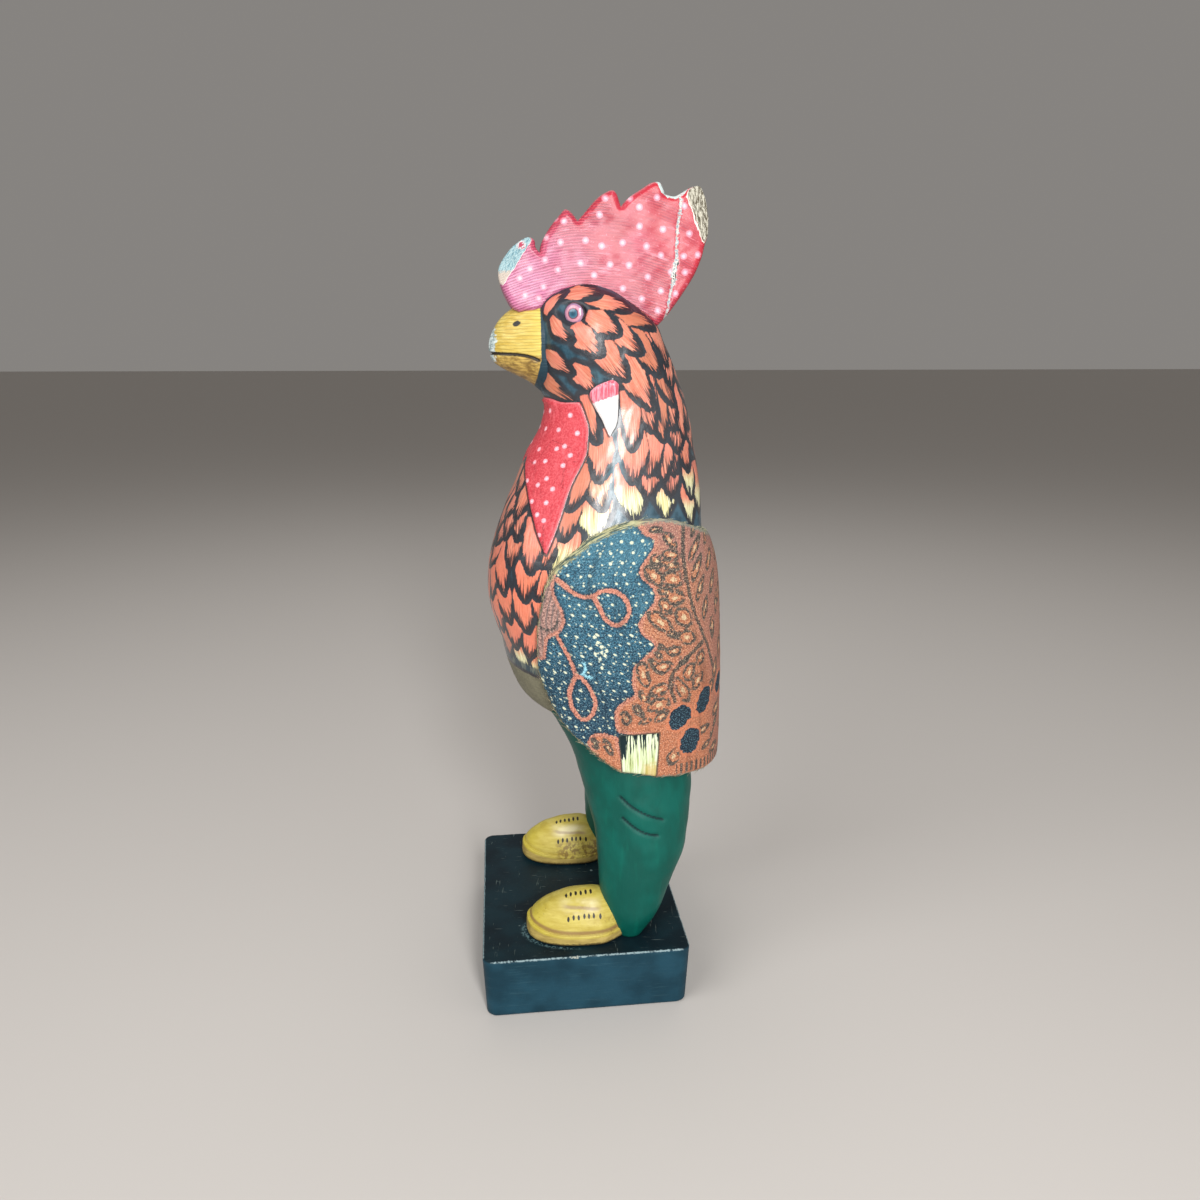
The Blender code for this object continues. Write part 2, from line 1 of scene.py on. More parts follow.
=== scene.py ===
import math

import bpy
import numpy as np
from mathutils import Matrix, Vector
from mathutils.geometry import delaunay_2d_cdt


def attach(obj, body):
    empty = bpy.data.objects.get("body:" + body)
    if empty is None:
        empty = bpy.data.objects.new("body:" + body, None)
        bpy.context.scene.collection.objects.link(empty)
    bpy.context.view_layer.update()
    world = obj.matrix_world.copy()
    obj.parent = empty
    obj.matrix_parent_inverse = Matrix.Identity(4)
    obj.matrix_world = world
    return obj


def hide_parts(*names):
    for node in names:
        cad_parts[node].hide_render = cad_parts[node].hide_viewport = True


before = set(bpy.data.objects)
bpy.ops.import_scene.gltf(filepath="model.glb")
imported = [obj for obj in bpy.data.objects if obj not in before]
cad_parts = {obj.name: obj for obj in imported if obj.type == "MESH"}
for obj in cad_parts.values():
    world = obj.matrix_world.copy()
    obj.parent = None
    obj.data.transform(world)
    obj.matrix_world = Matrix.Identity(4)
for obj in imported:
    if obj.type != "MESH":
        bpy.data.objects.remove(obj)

# %% [markdown]
# # A carved rooster in a batik jacket
#
# The figure is a hand-made souvenir: a rooster that stands upright like a person, carved in one
# piece from a light wood, painted, and set on a painted block. A piece of batik cloth is glued
# over the carved jacket. This lesson builds what the eye sees of it, one material at a time.
#
# Everything is drawn in millimetres, with the figure facing -Y and its left side to +X, and is
# turned into metres when a mesh is made. The painting isn't an image. Each dense mesh carries
# distances to the edges of the painted shapes, and the shader turns these distances into paint.
# A shape keeps its crisp edge at any size, and its brush marks can be laid along it.

MM = 0.001
TURN = math.tau
random = np.random.default_rng(7)

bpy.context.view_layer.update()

# %% [markdown]
# ## Curves and outlines
#
# The carver's shape is read from smooth curves: how far the front, the back and the sides stand
# out at each height. A cubic through measured points gives such a curve. An outline seen from the
# side is a closed line that flows through its points and keeps its sharp notches.

# %% smooth curves, outlines and distances


def smooth(points, at):
    """Values of a smooth curve through rising (position, value) points."""
    position, value = np.array(points, dtype=float).T
    slopes = np.gradient(value, position)
    at = np.clip(np.asarray(at, dtype=float), position[0], position[-1])
    i = np.clip(np.searchsorted(position, at) - 1, 0, len(position) - 2)
    span = position[i + 1] - position[i]
    t = (at - position[i]) / span
    before, after = 2 * t**3 - 3 * t**2 + 1, 3 * t**2 - 2 * t**3
    leave, arrive = (t**3 - 2 * t**2 + t) * span, (t**3 - t**2) * span
    return before * value[i] + after * value[i + 1] + leave * slopes[i] + arrive * slopes[i + 1]


def flowing(points, step, closed=True, corners=()):
    """A line that flows through its points at an even step, sharp at the named points."""
    points = np.array(points, dtype=float)
    count = len(points)
    spans = count if closed else count - 1
    line = []
    for i in range(spans):
        a, b = points[i], points[(i + 1) % count]
        before = points[i - 1] if (closed or i > 0) and i not in corners else 2 * a - b
        j = (i + 2) % count
        after = points[j] if (closed or i + 2 < count) and (i + 1) % count not in corners else 2 * b - a
        pieces = max(int(math.ceil(np.linalg.norm(b - a) / step)), 1)
        t = (np.arange(pieces) / pieces)[:, None]
        leave, arrive = (b - before) / 2, (after - a) / 2
        line.append((2 * t**3 - 3 * t**2 + 1) * a + (3 * t**2 - 2 * t**3) * b
                    + (t**3 - 2 * t**2 + t) * leave + (t**3 - t**2) * arrive)
    if not closed:
        line.append(points[-1:])
    return np.concatenate(line)


def to_line(points, line, closed=False, share=False):
    """Distance of each point to a line of points, and on request how far along it is nearest."""
    points = np.asarray(points, dtype=float)
    line = np.asarray(line, dtype=float)
    ends = np.roll(line, -1, axis=0) if closed else line[1:]
    starts = line if closed else line[:-1]
    best = np.full(len(points), np.inf)
    along = np.zeros(len(points))
    lengths = np.linalg.norm(ends - starts, axis=1)
    before = np.concatenate([[0.0], np.cumsum(lengths)])
    for i, (a, b) in enumerate(zip(starts, ends)):
        run = b - a
        t = np.clip(((points - a) @ run) / max(run @ run, 1e-12), 0, 1)
        distance = np.linalg.norm(points - a - t[:, None] * run, axis=1)
        nearer = distance < best
        best = np.where(nearer, distance, best)
        along = np.where(nearer, before[i] + t * lengths[i], along)
    return (best, along / before[-1]) if share else best


def inside(points, outline):
    """Distance to a closed outline, positive inside it."""
    points = np.asarray(points, dtype=float)
    outline = np.asarray(outline, dtype=float)
    x, y = points.T
    crossings = np.zeros(len(points), dtype=int)
    for (ax, ay), (bx, by) in zip(outline, np.roll(outline, -1, axis=0)):
        if ay != by:
            crossings += ((ay > y) != (by > y)) & (x < (bx - ax) * (y - ay) / (by - ay) + ax)
    return np.where(crossings % 2 == 1, 1, -1) * to_line(points, outline, closed=True)


def soft_step(low, high, value):
    t = np.clip((value - low) / (high - low), 0, 1)
    return t * t * (3 - 2 * t)


def waves(points, scale, octaves=3, seed=0):
    """Smooth seeded unevenness in -1..1, made of a few crossed waves at each size."""
    source = np.random.default_rng(seed)
    total, weight = np.zeros(len(points)), 0.0
    for octave in range(octaves):
        for _ in range(5):
            direction = source.normal(size=3)
            direction *= TURN * 2**octave / (scale * np.linalg.norm(direction))
            total += np.sin(points @ direction + source.uniform(0, TURN)) / 2**octave
        weight += 2.2 / 2**octave
    return total / weight


# %% [markdown]
# ## Meshes
#
# A carved form is a skin of rings, each ring one height. The rings are close, under a millimetre
# apart, so that a groove, a lifted edge or a painted edge has points enough to lie on.

# %% mesh builders


def ring_faces(levels, count, around=True):
    """Quads between rings of points, lowest ring first, facing out for rings that turn from -Y to +X."""
    k = np.arange(count if around else count - 1)
    after = (k + 1) % count
    low = np.arange(levels - 1)[:, None] * count
    return np.stack([low + k, low + after, low + count + after, low + count + k], axis=-1).reshape(-1, 4)


def caps(levels, count):
    """Fans that close the lowest and the highest ring to points added after all the rings."""
    k = np.arange(count)
    after = (k + 1) % count
    top, total = (levels - 1) * count, levels * count
    return np.concatenate([np.stack([after, k, np.full(count, total)], axis=-1),
                           np.stack([top + k, top + after, np.full(count, total + 1)], axis=-1)])


def make(name, points, faces, fields=None, smooth_angle=None):
    """A mesh object from points in millimetres. Fields are named numbers or vectors of its points."""
    mesh = bpy.data.meshes.new(name)
    mesh.from_pydata((np.asarray(points) * MM).tolist(), [], [list(map(int, face)) for face in faces])
    for field, values in (fields or {}).items():
        values = np.asarray(values, dtype=np.float32)
        kind = "FLOAT_VECTOR" if values.ndim == 2 else "FLOAT"
        layer = mesh.attributes.new(field, kind, "POINT")
        layer.data.foreach_set("vector" if values.ndim == 2 else "value", values.ravel())
    mesh.shade_smooth()
    if smooth_angle:
        mesh.set_sharp_from_angle(angle=math.radians(smooth_angle))
    mesh.update()
    piece = bpy.data.objects.new(name, mesh)
    bpy.context.scene.collection.objects.link(piece)
    return piece


def closed_rings(rings):
    """Points and faces of a closed skin from an array of rings (levels, count, 3)."""
    levels, count = rings.shape[:2]
    middles = [rings[0].mean(axis=0)[None], rings[-1].mean(axis=0)[None]]
    points = np.concatenate([rings.reshape(-1, 3), *middles])
    return points, list(ring_faces(levels, count)) + list(caps(levels, count))


def joined(skins):
    """Points and faces of several closed skins as one mesh."""
    faces, start = [], 0
    for points, skin in skins:
        faces += [tuple(int(i) + start for i in face) for face in skin]
        start += len(points)
    return np.concatenate([points for points, _ in skins]), faces


def clip(points, triangles, field):
    """Keeps the part of a triangle mesh where the field is positive, cut exactly at its edge."""
    points, field = list(map(tuple, points)), list(field)
    cuts, kept = {}, []

    def cut(a, b):
        key = (min(a, b), max(a, b))
        if key not in cuts:
            t = field[a] / (field[a] - field[b])
            cuts[key] = len(points)
            points.append(tuple(p + (q - p) * t for p, q in zip(points[a], points[b])))
            field.append(0.0)
        return cuts[key]

    for triangle in triangles:
        signs = [field[i] > 0 for i in triangle]
        if all(signs):
            kept.append(tuple(triangle))
        elif any(signs):
            corners = []
            for i in range(3):
                a, b = triangle[i], triangle[(i + 1) % 3]
                if signs[i]:
                    corners.append(a)
                if signs[i] != signs[(i + 1) % 3]:
                    corners.append(cut(a, b))
            kept += [tuple(corners[j] for j in (0, i, i + 1)) for i in range(1, len(corners) - 1)]
    used = sorted({i for face in kept for i in face})
    place = {old: new for new, old in enumerate(used)}
    return np.array([points[i] for i in used]), [tuple(place[i] for i in face) for face in kept]


def rim_edges(faces):
    """Edges of one face only, each in the direction that its face has it."""
    seen = {}
    for face in faces:
        for a, b in zip(face, face[1:] + face[:1]):
            seen[(a, b)] = 1
    return [edge for edge in seen if (edge[1], edge[0]) not in seen]


# %% [markdown]
# ## The neck, head and chest
#
# On the real figure these are one piece of wood with the rest. Seen from above, each level is an
# oval that is a little squarer than an ellipse. The cheeks are a rounded form of their own, which
# the carver left standing over the throat. The reach of an oval in each direction is found by
# halving, and the larger of body and cheek is taken, with a soft hollow between them.

# %% the carved form
TRUNK_FRONT = [
    (119, -2), (123, -7), (126, -15), (130, -21), (134, -24.8), (140, -28), (146, -30.2), (157, -32.8),
    (165, -35.4), (173, -37.4), (182, -37.9), (189, -37.3), (197, -35.6), (206, -32.6),
    (216, -28.8), (225, -24.8), (232, -21.5), (238, -17.6), (246, -12.9), (252, -10.9),
    (256, -10.7), (258.5, -12), (261.5, -13.8), (265, -13.6), (272, -13.4), (282, -14),
    (290, -15.4), (294, -15), (298, -12.2), (301, -7), (303.5, -2), (306, 4),
]
TRUNK_BACK = [
    (119, 38), (125, 46), (135, 51), (150, 54.5), (170, 56), (190, 55.5), (205, 54.7),
    (213, 54.2), (223, 53.4), (236, 51.1), (249, 48.6), (256, 47), (264, 44.2), (273, 40.6),
    (281, 37), (288, 33.6), (293, 28.5), (298, 21.5), (302, 15), (306, 8),
]
TRUNK_WIDTH = [
    (119, 24), (122, 30), (127, 34.5), (135, 37.8), (150, 40.3), (165, 41.2), (180, 40.8),
    (190, 39.5), (200, 37.4), (210, 34.6), (220, 31.2), (230, 27.8), (240, 24.4), (250, 22.1),
    (256, 21.6), (262, 22), (268, 23.2), (276, 24), (284, 23.3), (290, 21.4), (294, 18.8),
    (298, 14.6), (301, 10.8), (304, 6.5), (306, 3),
]
CHEEK_CENTRE = (6.4, 279.8)
CHEEK_REACH = (25, 20.8, 22.9)
CHEEK_BLEND = 2.2
ROUNDNESS = 2.25
WATTLE_OUTLINE = [
    (-25, 258.5), (-12, 258.7), (-6, 257.2), (0.9, 257.3), (2.6, 252.6), (3.8, 247.5),
    (3.4, 242.7), (2.6, 237.6), (-0.3, 232), (-3.2, 226.7), (-6.5, 218.6), (-10.3, 208.4),
    (-14.2, 199.4), (-17.3, 208), (-19.4, 217.5), (-20.4, 227), (-20.4, 232), (-19.4, 238),
    (-25, 243),
]
EARLOBE_OUTLINE = [
    (4.8, 260.4), (6.4, 263), (9.9, 264.9), (13.7, 266), (15.7, 264.5), (15.7, 255),
    (15, 249.3), (12.4, 244.7), (9.5, 251.3), (6.8, 255.9),
]
WATTLE_RELIEF, EARLOBE_RELIEF = 1.7, 1.5
EYE_CENTRE = (-1.6, 291)
EYE_TILT = math.radians(-18)


def reach(angle, axis_y, front, back, half_width, power):
    """Distance from (0, axis_y) to an oval's edge, in the direction of the angle from -Y."""
    across, along = np.sin(angle), -np.cos(angle)
    middle, half = (front + back) / 2, (back - front) / 2
    near = np.zeros(np.broadcast(angle, half).shape)
    far = near + 2 * (half + half_width)
    for _ in range(36):
        r = (near + far) / 2
        x, y = r * across, axis_y + r * along - middle
        within = np.abs(x / half_width) ** power + np.abs(y / half) ** power < 1
        near, far = np.where(within, r, near), np.where(within, far, r)
    return near


def trunk(z, angle, lift=0.0):
    """Points of the trunk at heights z and angles from -Y, lifted outwards in the level plane."""
    z = np.asarray(z, dtype=float)
    front, back, width = (smooth(curve, z) for curve in (TRUNK_FRONT, TRUNK_BACK, TRUNK_WIDTH))
    axis_y = (front + back) / 2
    r = reach(angle, axis_y, front, back, width, ROUNDNESS)
    wide, deep, tall = CHEEK_REACH
    slant = 1 - np.abs((z - CHEEK_CENTRE[1]) / tall) ** ROUNDNESS
    shrink = np.maximum(slant, 1e-6) ** (1 / ROUNDNESS)
    cheek_front, cheek_back = CHEEK_CENTRE[0] - deep * shrink, CHEEK_CENTRE[0] + deep * shrink
    held = (slant > 0) & (cheek_front < axis_y) & (axis_y < cheek_back)
    cheek = reach(angle, axis_y, cheek_front, cheek_back, wide * shrink, ROUNDNESS)
    share = np.clip(0.5 + (r - cheek) / (2 * CHEEK_BLEND), 0, 1)
    joined = cheek + (r - cheek) * share + CHEEK_BLEND * share * (1 - share) / 2
    r = np.where(held, joined, r) + lift
    return np.stack(np.broadcast_arrays(r * np.sin(angle), axis_y - r * np.cos(angle), z), axis=-1)


def on_trunk(y, z):
    """The trunk's left side at a side point: the point there and the direction that it faces."""
    angle = np.linspace(0.02, math.pi - 0.02, 600)
    points = trunk(np.full(600, float(z)), angle)
    i = int(np.argmin(np.abs(points[:, 1] - y) + np.where(points[:, 0] < 1, 9, 0)))
    i = min(max(i, 2), 597)
    run = points[i + 2] - points[i - 2]
    lower = trunk(np.array([z - 1.0]), angle[i:i + 1])[0]
    upper = trunk(np.array([z + 1.0]), angle[i:i + 1])[0]
    facing = np.cross(run, upper - lower)
    return points[i], facing / np.linalg.norm(facing)


TRUNK_COLUMNS = 320
trunk_z = np.concatenate([np.arange(119.2, 298, 0.8), np.arange(298, 305.8, 0.5)])
trunk_angle = np.arange(TRUNK_COLUMNS) * TURN / TRUNK_COLUMNS
rings = trunk(trunk_z[:, None], trunk_angle[None, :])
flat = rings.reshape(-1, 3)
side_points = flat[:, 1:]
wattle = inside(side_points, flowing(WATTLE_OUTLINE, 1.0, corners=(3, 12, 16, 18, 0)))
earlobe = inside(side_points, flowing(EARLOBE_OUTLINE, 1.0, corners=(4, 7)))
lift = (WATTLE_RELIEF * soft_step(-0.15, 0.9, wattle) + EARLOBE_RELIEF * soft_step(-0.15, 0.9, earlobe))
print("trunk:", len(flat), "points")

# %% [markdown]
# ### Eyes
#
# Each eye is a hollow scooped with a gouge, and a round ball was left standing in it. The hollow
# is pressed into the dense skin, and the ball is its own small mesh with its rings of paint.

# %% eye hollows and eyeballs
EYE_HOLLOW = (8.6, 4.9)
HOLLOW_DEPTH = 2.6
EYEBALL_HALF = 4.3
eye_point, eye_facing = on_trunk(*EYE_CENTRE)


def eye_axes(side):
    """Out of the face, along the eye and up, as three unit vectors."""
    out = np.array([side * eye_facing[0], eye_facing[1], 0])
    out /= np.linalg.norm(out)
    level = np.array([-side * out[1], side * out[0], 0])
    along = level * math.cos(EYE_TILT) + np.array([0, 0, math.sin(EYE_TILT)])
    return out, along, np.cross(out, along)


for side in (1, -1):
    out, along, up = eye_axes(side)
    centre = np.array([side * eye_point[0], eye_point[1], eye_point[2]])
    local = flat - centre
    oval = np.sqrt((local @ along / EYE_HOLLOW[0]) ** 2 + (local @ up / EYE_HOLLOW[1]) ** 2)
    near = (np.abs(local @ out) < 9) & (side * flat[:, 0] > 0)
    hollow = np.where(near, HOLLOW_DEPTH * (1 - soft_step(0.35, 1.05, oval)), 0)
    lift = lift - hollow
knife = 0.14 * waves(flat, 13, seed=3)
rings = trunk(trunk_z[:, None], trunk_angle[None, :], (lift + knife).reshape(rings.shape[:2]))
trunk_points, trunk_faces = closed_rings(rings)


def pad(values):
    """A field of the ring points, made as long as the points with their two caps."""
    return np.concatenate([values, values[:1], values[-1:]])


# %% [markdown]
# ### Painted feathers
#
# The feathers are flat paint. On the real figure each is one loaded brush stroke that starts thin
# and ends in the marks of the bristles, over a dark ground, and the upper strokes cover the lower.
# The same order works here. For each feather, from the lowest to the highest, the field of painted
# distance is first pushed back by the width of a dark border and then raised to the feather's own
# distance. The result is continuous, so that its zero line is a clean edge everywhere. Beside it
# each point keeps its place along and across its own feather, and the shader draws the bristles
# along that.
#
# The feathers of the left side are laid as on the figure, and the right side mirrors them. The
# back, the throat and the lower chest are filled with staggered rows.

# %% feather strokes
# Base y and z, tip y and z, width, and a letter: s salmon, b brownish, p pale, c cream at the tip.
FEATHERS = [
    (-11.9, 290.9, -5.3, 298.7, 4.9, "s"), (-4.8, 298.0, 7.5, 298.7, 5.6, "s"),
    (3.4, 296.2, 19.7, 293.7, 5.8, "s"), (3.4, 290.6, 14.4, 284.5, 8.2, "s"),
    (-1.7, 287.4, 7.4, 276.8, 8.6, "s"), (-9.8, 289.9, -3.7, 281.9, 5.4, "s"),
    (14.6, 290.4, 30.0, 286.9, 6.2, "b"), (12.4, 288.5, 23.8, 277.4, 7.6, "s"),
    (22.3, 283.9, 32.5, 269.3, 7.6, "b"), (26.5, 283.9, 37.9, 277.0, 5.0, "s"),
    (6.7, 282.7, 17.9, 267.7, 9.2, "s"), (-12.1, 276.6, -3.7, 269.9, 6.6, "s"),
    (-2.4, 271.8, 5.2, 263.3, 8.0, "s"), (31.6, 275.9, 38.4, 257.8, 7.0, "b"),
    (19.0, 272.5, 29.0, 256.5, 8.6, "s"), (34.7, 275.5, 43.5, 264.0, 4.6, "s"),
    (-13.5, 270.0, -2.2, 258.3, 6.0, "b"), (30.2, 262.7, 34.5, 244.1, 8.4, "b"),
    (40.0, 263.8, 44.0, 245.1, 7.4, "s"), (19.8, 258.4, 21.5, 241.1, 6.6, "s"),
    (4.2, 257.1, 6.9, 243.8, 4.6, "s"), (7.4, 243.8, 7.7, 229.2, 8.8, "s"),
    (20.8, 244.0, 21.1, 228.5, 10.2, "s"), (31.6, 246.1, 34.0, 228.8, 10.3, "s"),
    (42.1, 246.5, 45.3, 231.7, 7.8, "s"), (49.4, 243.0, 52.1, 228.0, 6.0, "s"),
    (6.8, 236.2, 7.9, 218.3, 11.0, "p"), (20.3, 230.8, 21.2, 213.6, 11.8, "c"),
    (33.1, 230.3, 34.5, 214.0, 10.4, "c"), (44.6, 233.6, 46.7, 220.9, 7.5, "c"),
    (45.6, 222.0, 46.4, 210.3, 8.0, "c"), (-0.6, 231.2, -4.1, 218.2, 8.0, "b"),
    (6.3, 222.9, 4.5, 206.5, 12.8, "c"), (-4.7, 218.7, -7.2, 206.9, 9.6, "b"),
    (-7.1, 208.9, -11.2, 193.7, 11.4, "c"), (-20.1, 230.6, -24.0, 222.5, 5.6, "s"),
    (-22.0, 221.9, -29.0, 212.0, 6.4, "s"), (-21.5, 219.7, -25.0, 205.2, 6.6, "s"),
    (-28.1, 211.5, -33.1, 201.1, 7.0, "s"), (-26.1, 209.8, -28.1, 194.0, 8.0, "s"),
    (-18.0, 209.4, -20.4, 193.5, 8.6, "s"), (-32.1, 202.4, -36.2, 191.3, 7.0, "s"),
    (-31.0, 199.0, -31.2, 182.9, 8.6, "s"), (-19.9, 198.2, -22.8, 182.0, 10.2, "s"),
    (-34.7, 191.8, -36.0, 179.0, 7.0, "s"), (-32.1, 184.1, -29.4, 171.3, 8.6, "s"),
    (-22.4, 184.5, -22.4, 168.8, 10.0, "s"), (-13.4, 206.8, -15.2, 196.3, 6.4, "s"),
    (-16.1, 196.3, -17.3, 183.3, 7.0, "s"), (-34.5, 178.5, -32.4, 165.5, 8.4, "s"),
    (-28.6, 172.5, -27.2, 159.5, 9.4, "s"), (-21.6, 171.0, -21.6, 156.5, 8.6, "s"),
    (-31.8, 165.0, -29.6, 152.5, 8.6, "b"), (-26.2, 161.5, -23.6, 148.8, 8.8, "c"),
    (-21.0, 158.5, -19.6, 146.5, 6.4, "c"), (-30.0, 154.5, -27.0, 147.0, 6.6, "c"),
]
print("feathers drawn on one side:", len(FEATHERS))

# %% the shape of a stroke
BEAK_ROOT_POINT = np.array([0, -14.0, 283.0])
BASE_HIDDEN = 4.0
ROW_HEIGHT, ROW_SPACING = 8.6, 9.8
FILLER_WIDTH, FILLER_UP, FILLER_DOWN = 9.4, 8.2, 7.6


def stroke(base, tip, width, kind):
    """A feather as a stroke over the trunk: its ends, width, letter and rank from the beak."""
    rank = np.linalg.norm((base + tip) / 2 - BEAK_ROOT_POINT)
    low = soft_step(30, 46, rank)
    axis = (tip - base) / np.linalg.norm(tip - base)
    return base - axis * BASE_HIDDEN * low, tip + axis * 0.8, width * (1.1 + 0.12 * low), kind, rank


def plume(share, base_width):
    """A feather's width along its length: drawn to a point, and wide at a base that others cover."""
    swell = base_width + (1 - base_width) * soft_step(-0.15, 0.45, share)
    return swell * (1 - np.clip((share - 0.36) / 0.64, 0, 1) ** 1.6) ** 0.95


strokes = []
for base_y, base_z, tip_y, tip_z, width, kind in FEATHERS:
    base, tip = on_trunk(base_y, base_z)[0], on_trunk(tip_y, tip_z)[0]
    for side in (1, -1):
        turned = np.array([side, 1, 1])
        strokes.append(stroke(base * turned, tip * turned, width, kind))


def belly_line(y):
    """Height of the feathers' lower end, at a distance y in front of the middle."""
    return 148.5 - 0.2 * (y + 29.4)


print("drawn strokes:", len(strokes))

# %% rows of feathers elsewhere
row = 0
for z in np.arange(290, 146, -ROW_HEIGHT):
    ring = trunk(np.full(721, z), np.linspace(0, TURN, 721))
    around = np.concatenate([[0], np.cumsum(np.linalg.norm(np.diff(ring, axis=0), axis=1))])
    number = max(int(around[-1] / ROW_SPACING), 8)
    for i in range(number):
        place = (i + 0.5 * (row % 2)) / number * around[-1]
        angle = np.interp(place, around, np.linspace(0, TURN, 721))
        middle = trunk(np.array([z]), np.array([angle]))[0]
        if (middle[1] < 22 and z > 236) or (middle[1] > -12 and z < 216):
            continue
        if z - 8 < belly_line(middle[1]) and middle[1] < -12:
            continue
        apart = 7.4 - 1.4 * (middle[1] > 24)
        if min(np.linalg.norm(tip - middle - np.array([0, 0, -7])) for _, tip, *_ in strokes) < apart:
            continue
        base = trunk(np.array([z + FILLER_UP]), np.array([angle]))[0]
        tip = trunk(np.array([z - FILLER_DOWN]), np.array([angle + random.uniform(-0.04, 0.04)]))[0]
        last = middle[1] < 0 and tip[2] - belly_line(tip[1]) < 7
        kind = "c" if last or (middle[1] > 10 and z < 224) else "s"
        strokes.append(stroke(base, tip, FILLER_WIDTH, kind))
    row += 1
strokes.sort(key=lambda feather: -feather[4])
print("strokes with the rows:", len(strokes))

# %% painted distance of the feathers
painted = np.full(len(flat), -9.0)
own = np.zeros((len(flat), 3))
touch = np.zeros((len(flat), 3))
for base, tip, width, kind, rank in strokes:
    length = np.linalg.norm(tip - base)
    axis = (tip - base) / length
    middle = (base + tip) / 2
    normal = middle - np.array([0, smooth(TRUNK_FRONT, middle[2]) / 2 + smooth(TRUNK_BACK, middle[2]) / 2,
                                middle[2]])
    across = np.cross(normal, axis)
    across /= np.linalg.norm(across)
    normal = np.cross(axis, across)
    local = flat - base
    u, v, w = local @ axis, local @ across, local @ normal
    near = (np.abs(w) < 9) & (np.abs(v) < width) & (u > -4) & (u < length + 4)
    bend = random.uniform(-0.06, 0.06) * length
    u, v = u[near], v[near]
    v = v - bend * (1 - (2 * u / length - 1) ** 2)
    share = np.clip(u / length, 0, 1)
    outline = np.linspace(0, 1, 15)
    half = width / 2 * plume(outline, 0.3 + 0.52 * soft_step(30, 46, rank))
    outline = np.column_stack([np.concatenate([outline, outline[::-1]]) * length,
                               np.concatenate([half, -half[::-1]])])
    d = inside(np.column_stack([u, v]), outline)
    border = 0.35 + 2.1 * soft_step(0.35, 0.9, share)
    painted[near] = np.maximum(np.minimum(painted[near], -d - border), d)
    mine = np.flatnonzero(near)[d > -border / 2]
    held = d > -border / 2
    tone = random.uniform(0, 1)
    own[mine] = np.column_stack([u[held], v[held] + 40 * tone, np.full(held.sum(), tone)])
    cream = {"s": 0.0, "b": 0.0, "p": 0.3, "c": 1.0}[kind]
    brown = {"s": 0.0, "b": 1.0, "p": 0.0, "c": 0.0}[kind]
    touch[mine] = np.column_stack([share[held], np.full(held.sum(), cream), np.full(held.sum(), brown)])
print("feathers:", len(strokes), "strokes")

# %% [markdown]
# ### Dots on the wattles
#
# White dots of a round brush. Each is measured from its own place on the curved surface, so that
# it stays round where the wattle turns towards the front.

# %% wattle dots
WATTLE_DOTS = [
    (-8.8, 253.8), (-1.7, 252.5), (-10.7, 246.7), (-6.0, 246.7), (0.8, 245.7), (-13.6, 238.8),
    (-7.2, 239.5), (-4.2, 240.6), (-2.3, 237.3), (-15.8, 233.8), (-11.8, 234.6), (-5.3, 233.4),
    (-15.9, 246.8), (-11.7, 228.1), (-15.1, 225.5), (-9.6, 224.4), (-18.9, 226.6), (-17.8, 219.1),
    (-12.3, 219.1), (-15.9, 214.4), (-13.6, 212.4), (-15.8, 206.8), (-13.5, 252.8), (-18.4, 240.4),
]
dot_places = [on_trunk(*dot)[0] * np.array([side, 1, 1]) for dot in WATTLE_DOTS for side in (1, -1)]
wattle_dot = np.min([np.linalg.norm(flat - place, axis=1) for place in dot_places], axis=0)
print("wattle dots:", len(dot_places))

# %% carved body and eyeballs
body = make("carved_body", trunk_points, trunk_faces, {
    "wattle": pad(wattle), "earlobe": pad(earlobe), "dot": pad(wattle_dot), "painted": pad(painted),
    "own": pad(own), "touch": pad(touch)})

ball_skins, ball_ring = [], []
for side in (1, -1):
    out, along, up = eye_axes(side)
    centre = np.array([side * eye_point[0], eye_point[1], eye_point[2]]) - out * 1.9
    turn, rise = np.arange(48) * TURN / 48, np.linspace(-0.5, 0.5, 30) * math.pi * 0.998
    shape = np.stack(np.broadcast_arrays(
        np.sin(rise)[:, None], np.cos(rise)[:, None] * np.cos(turn), np.cos(rise)[:, None] * np.sin(turn)),
        axis=-1)
    rings = centre + (shape[..., :1] * 2.3) * out + (shape[..., 1:2] * EYEBALL_HALF) * along \
        + (shape[..., 2:] * EYEBALL_HALF) * up
    points, faces = closed_rings(rings)
    ball_skins.append((points, faces))
    ball_ring.append(np.linalg.norm(np.cross(points - centre, out), axis=1))
eyes = make("eyes", *joined(ball_skins), {"ring": np.concatenate(ball_ring)})
print("eyes:", len(eyes.data.vertices), "points")

# %% [markdown]
# ## The comb
#
# The comb was sawn and carved as a thick blade with rounded edges, three whole points, a broken
# front tip and a chipped top. Its rear end broke off once and was glued back, and the joint still
# shows as a pale line. It is drawn as a flat triangle net with its points on the outline, and each
# side is pushed out to the blade's half thickness.

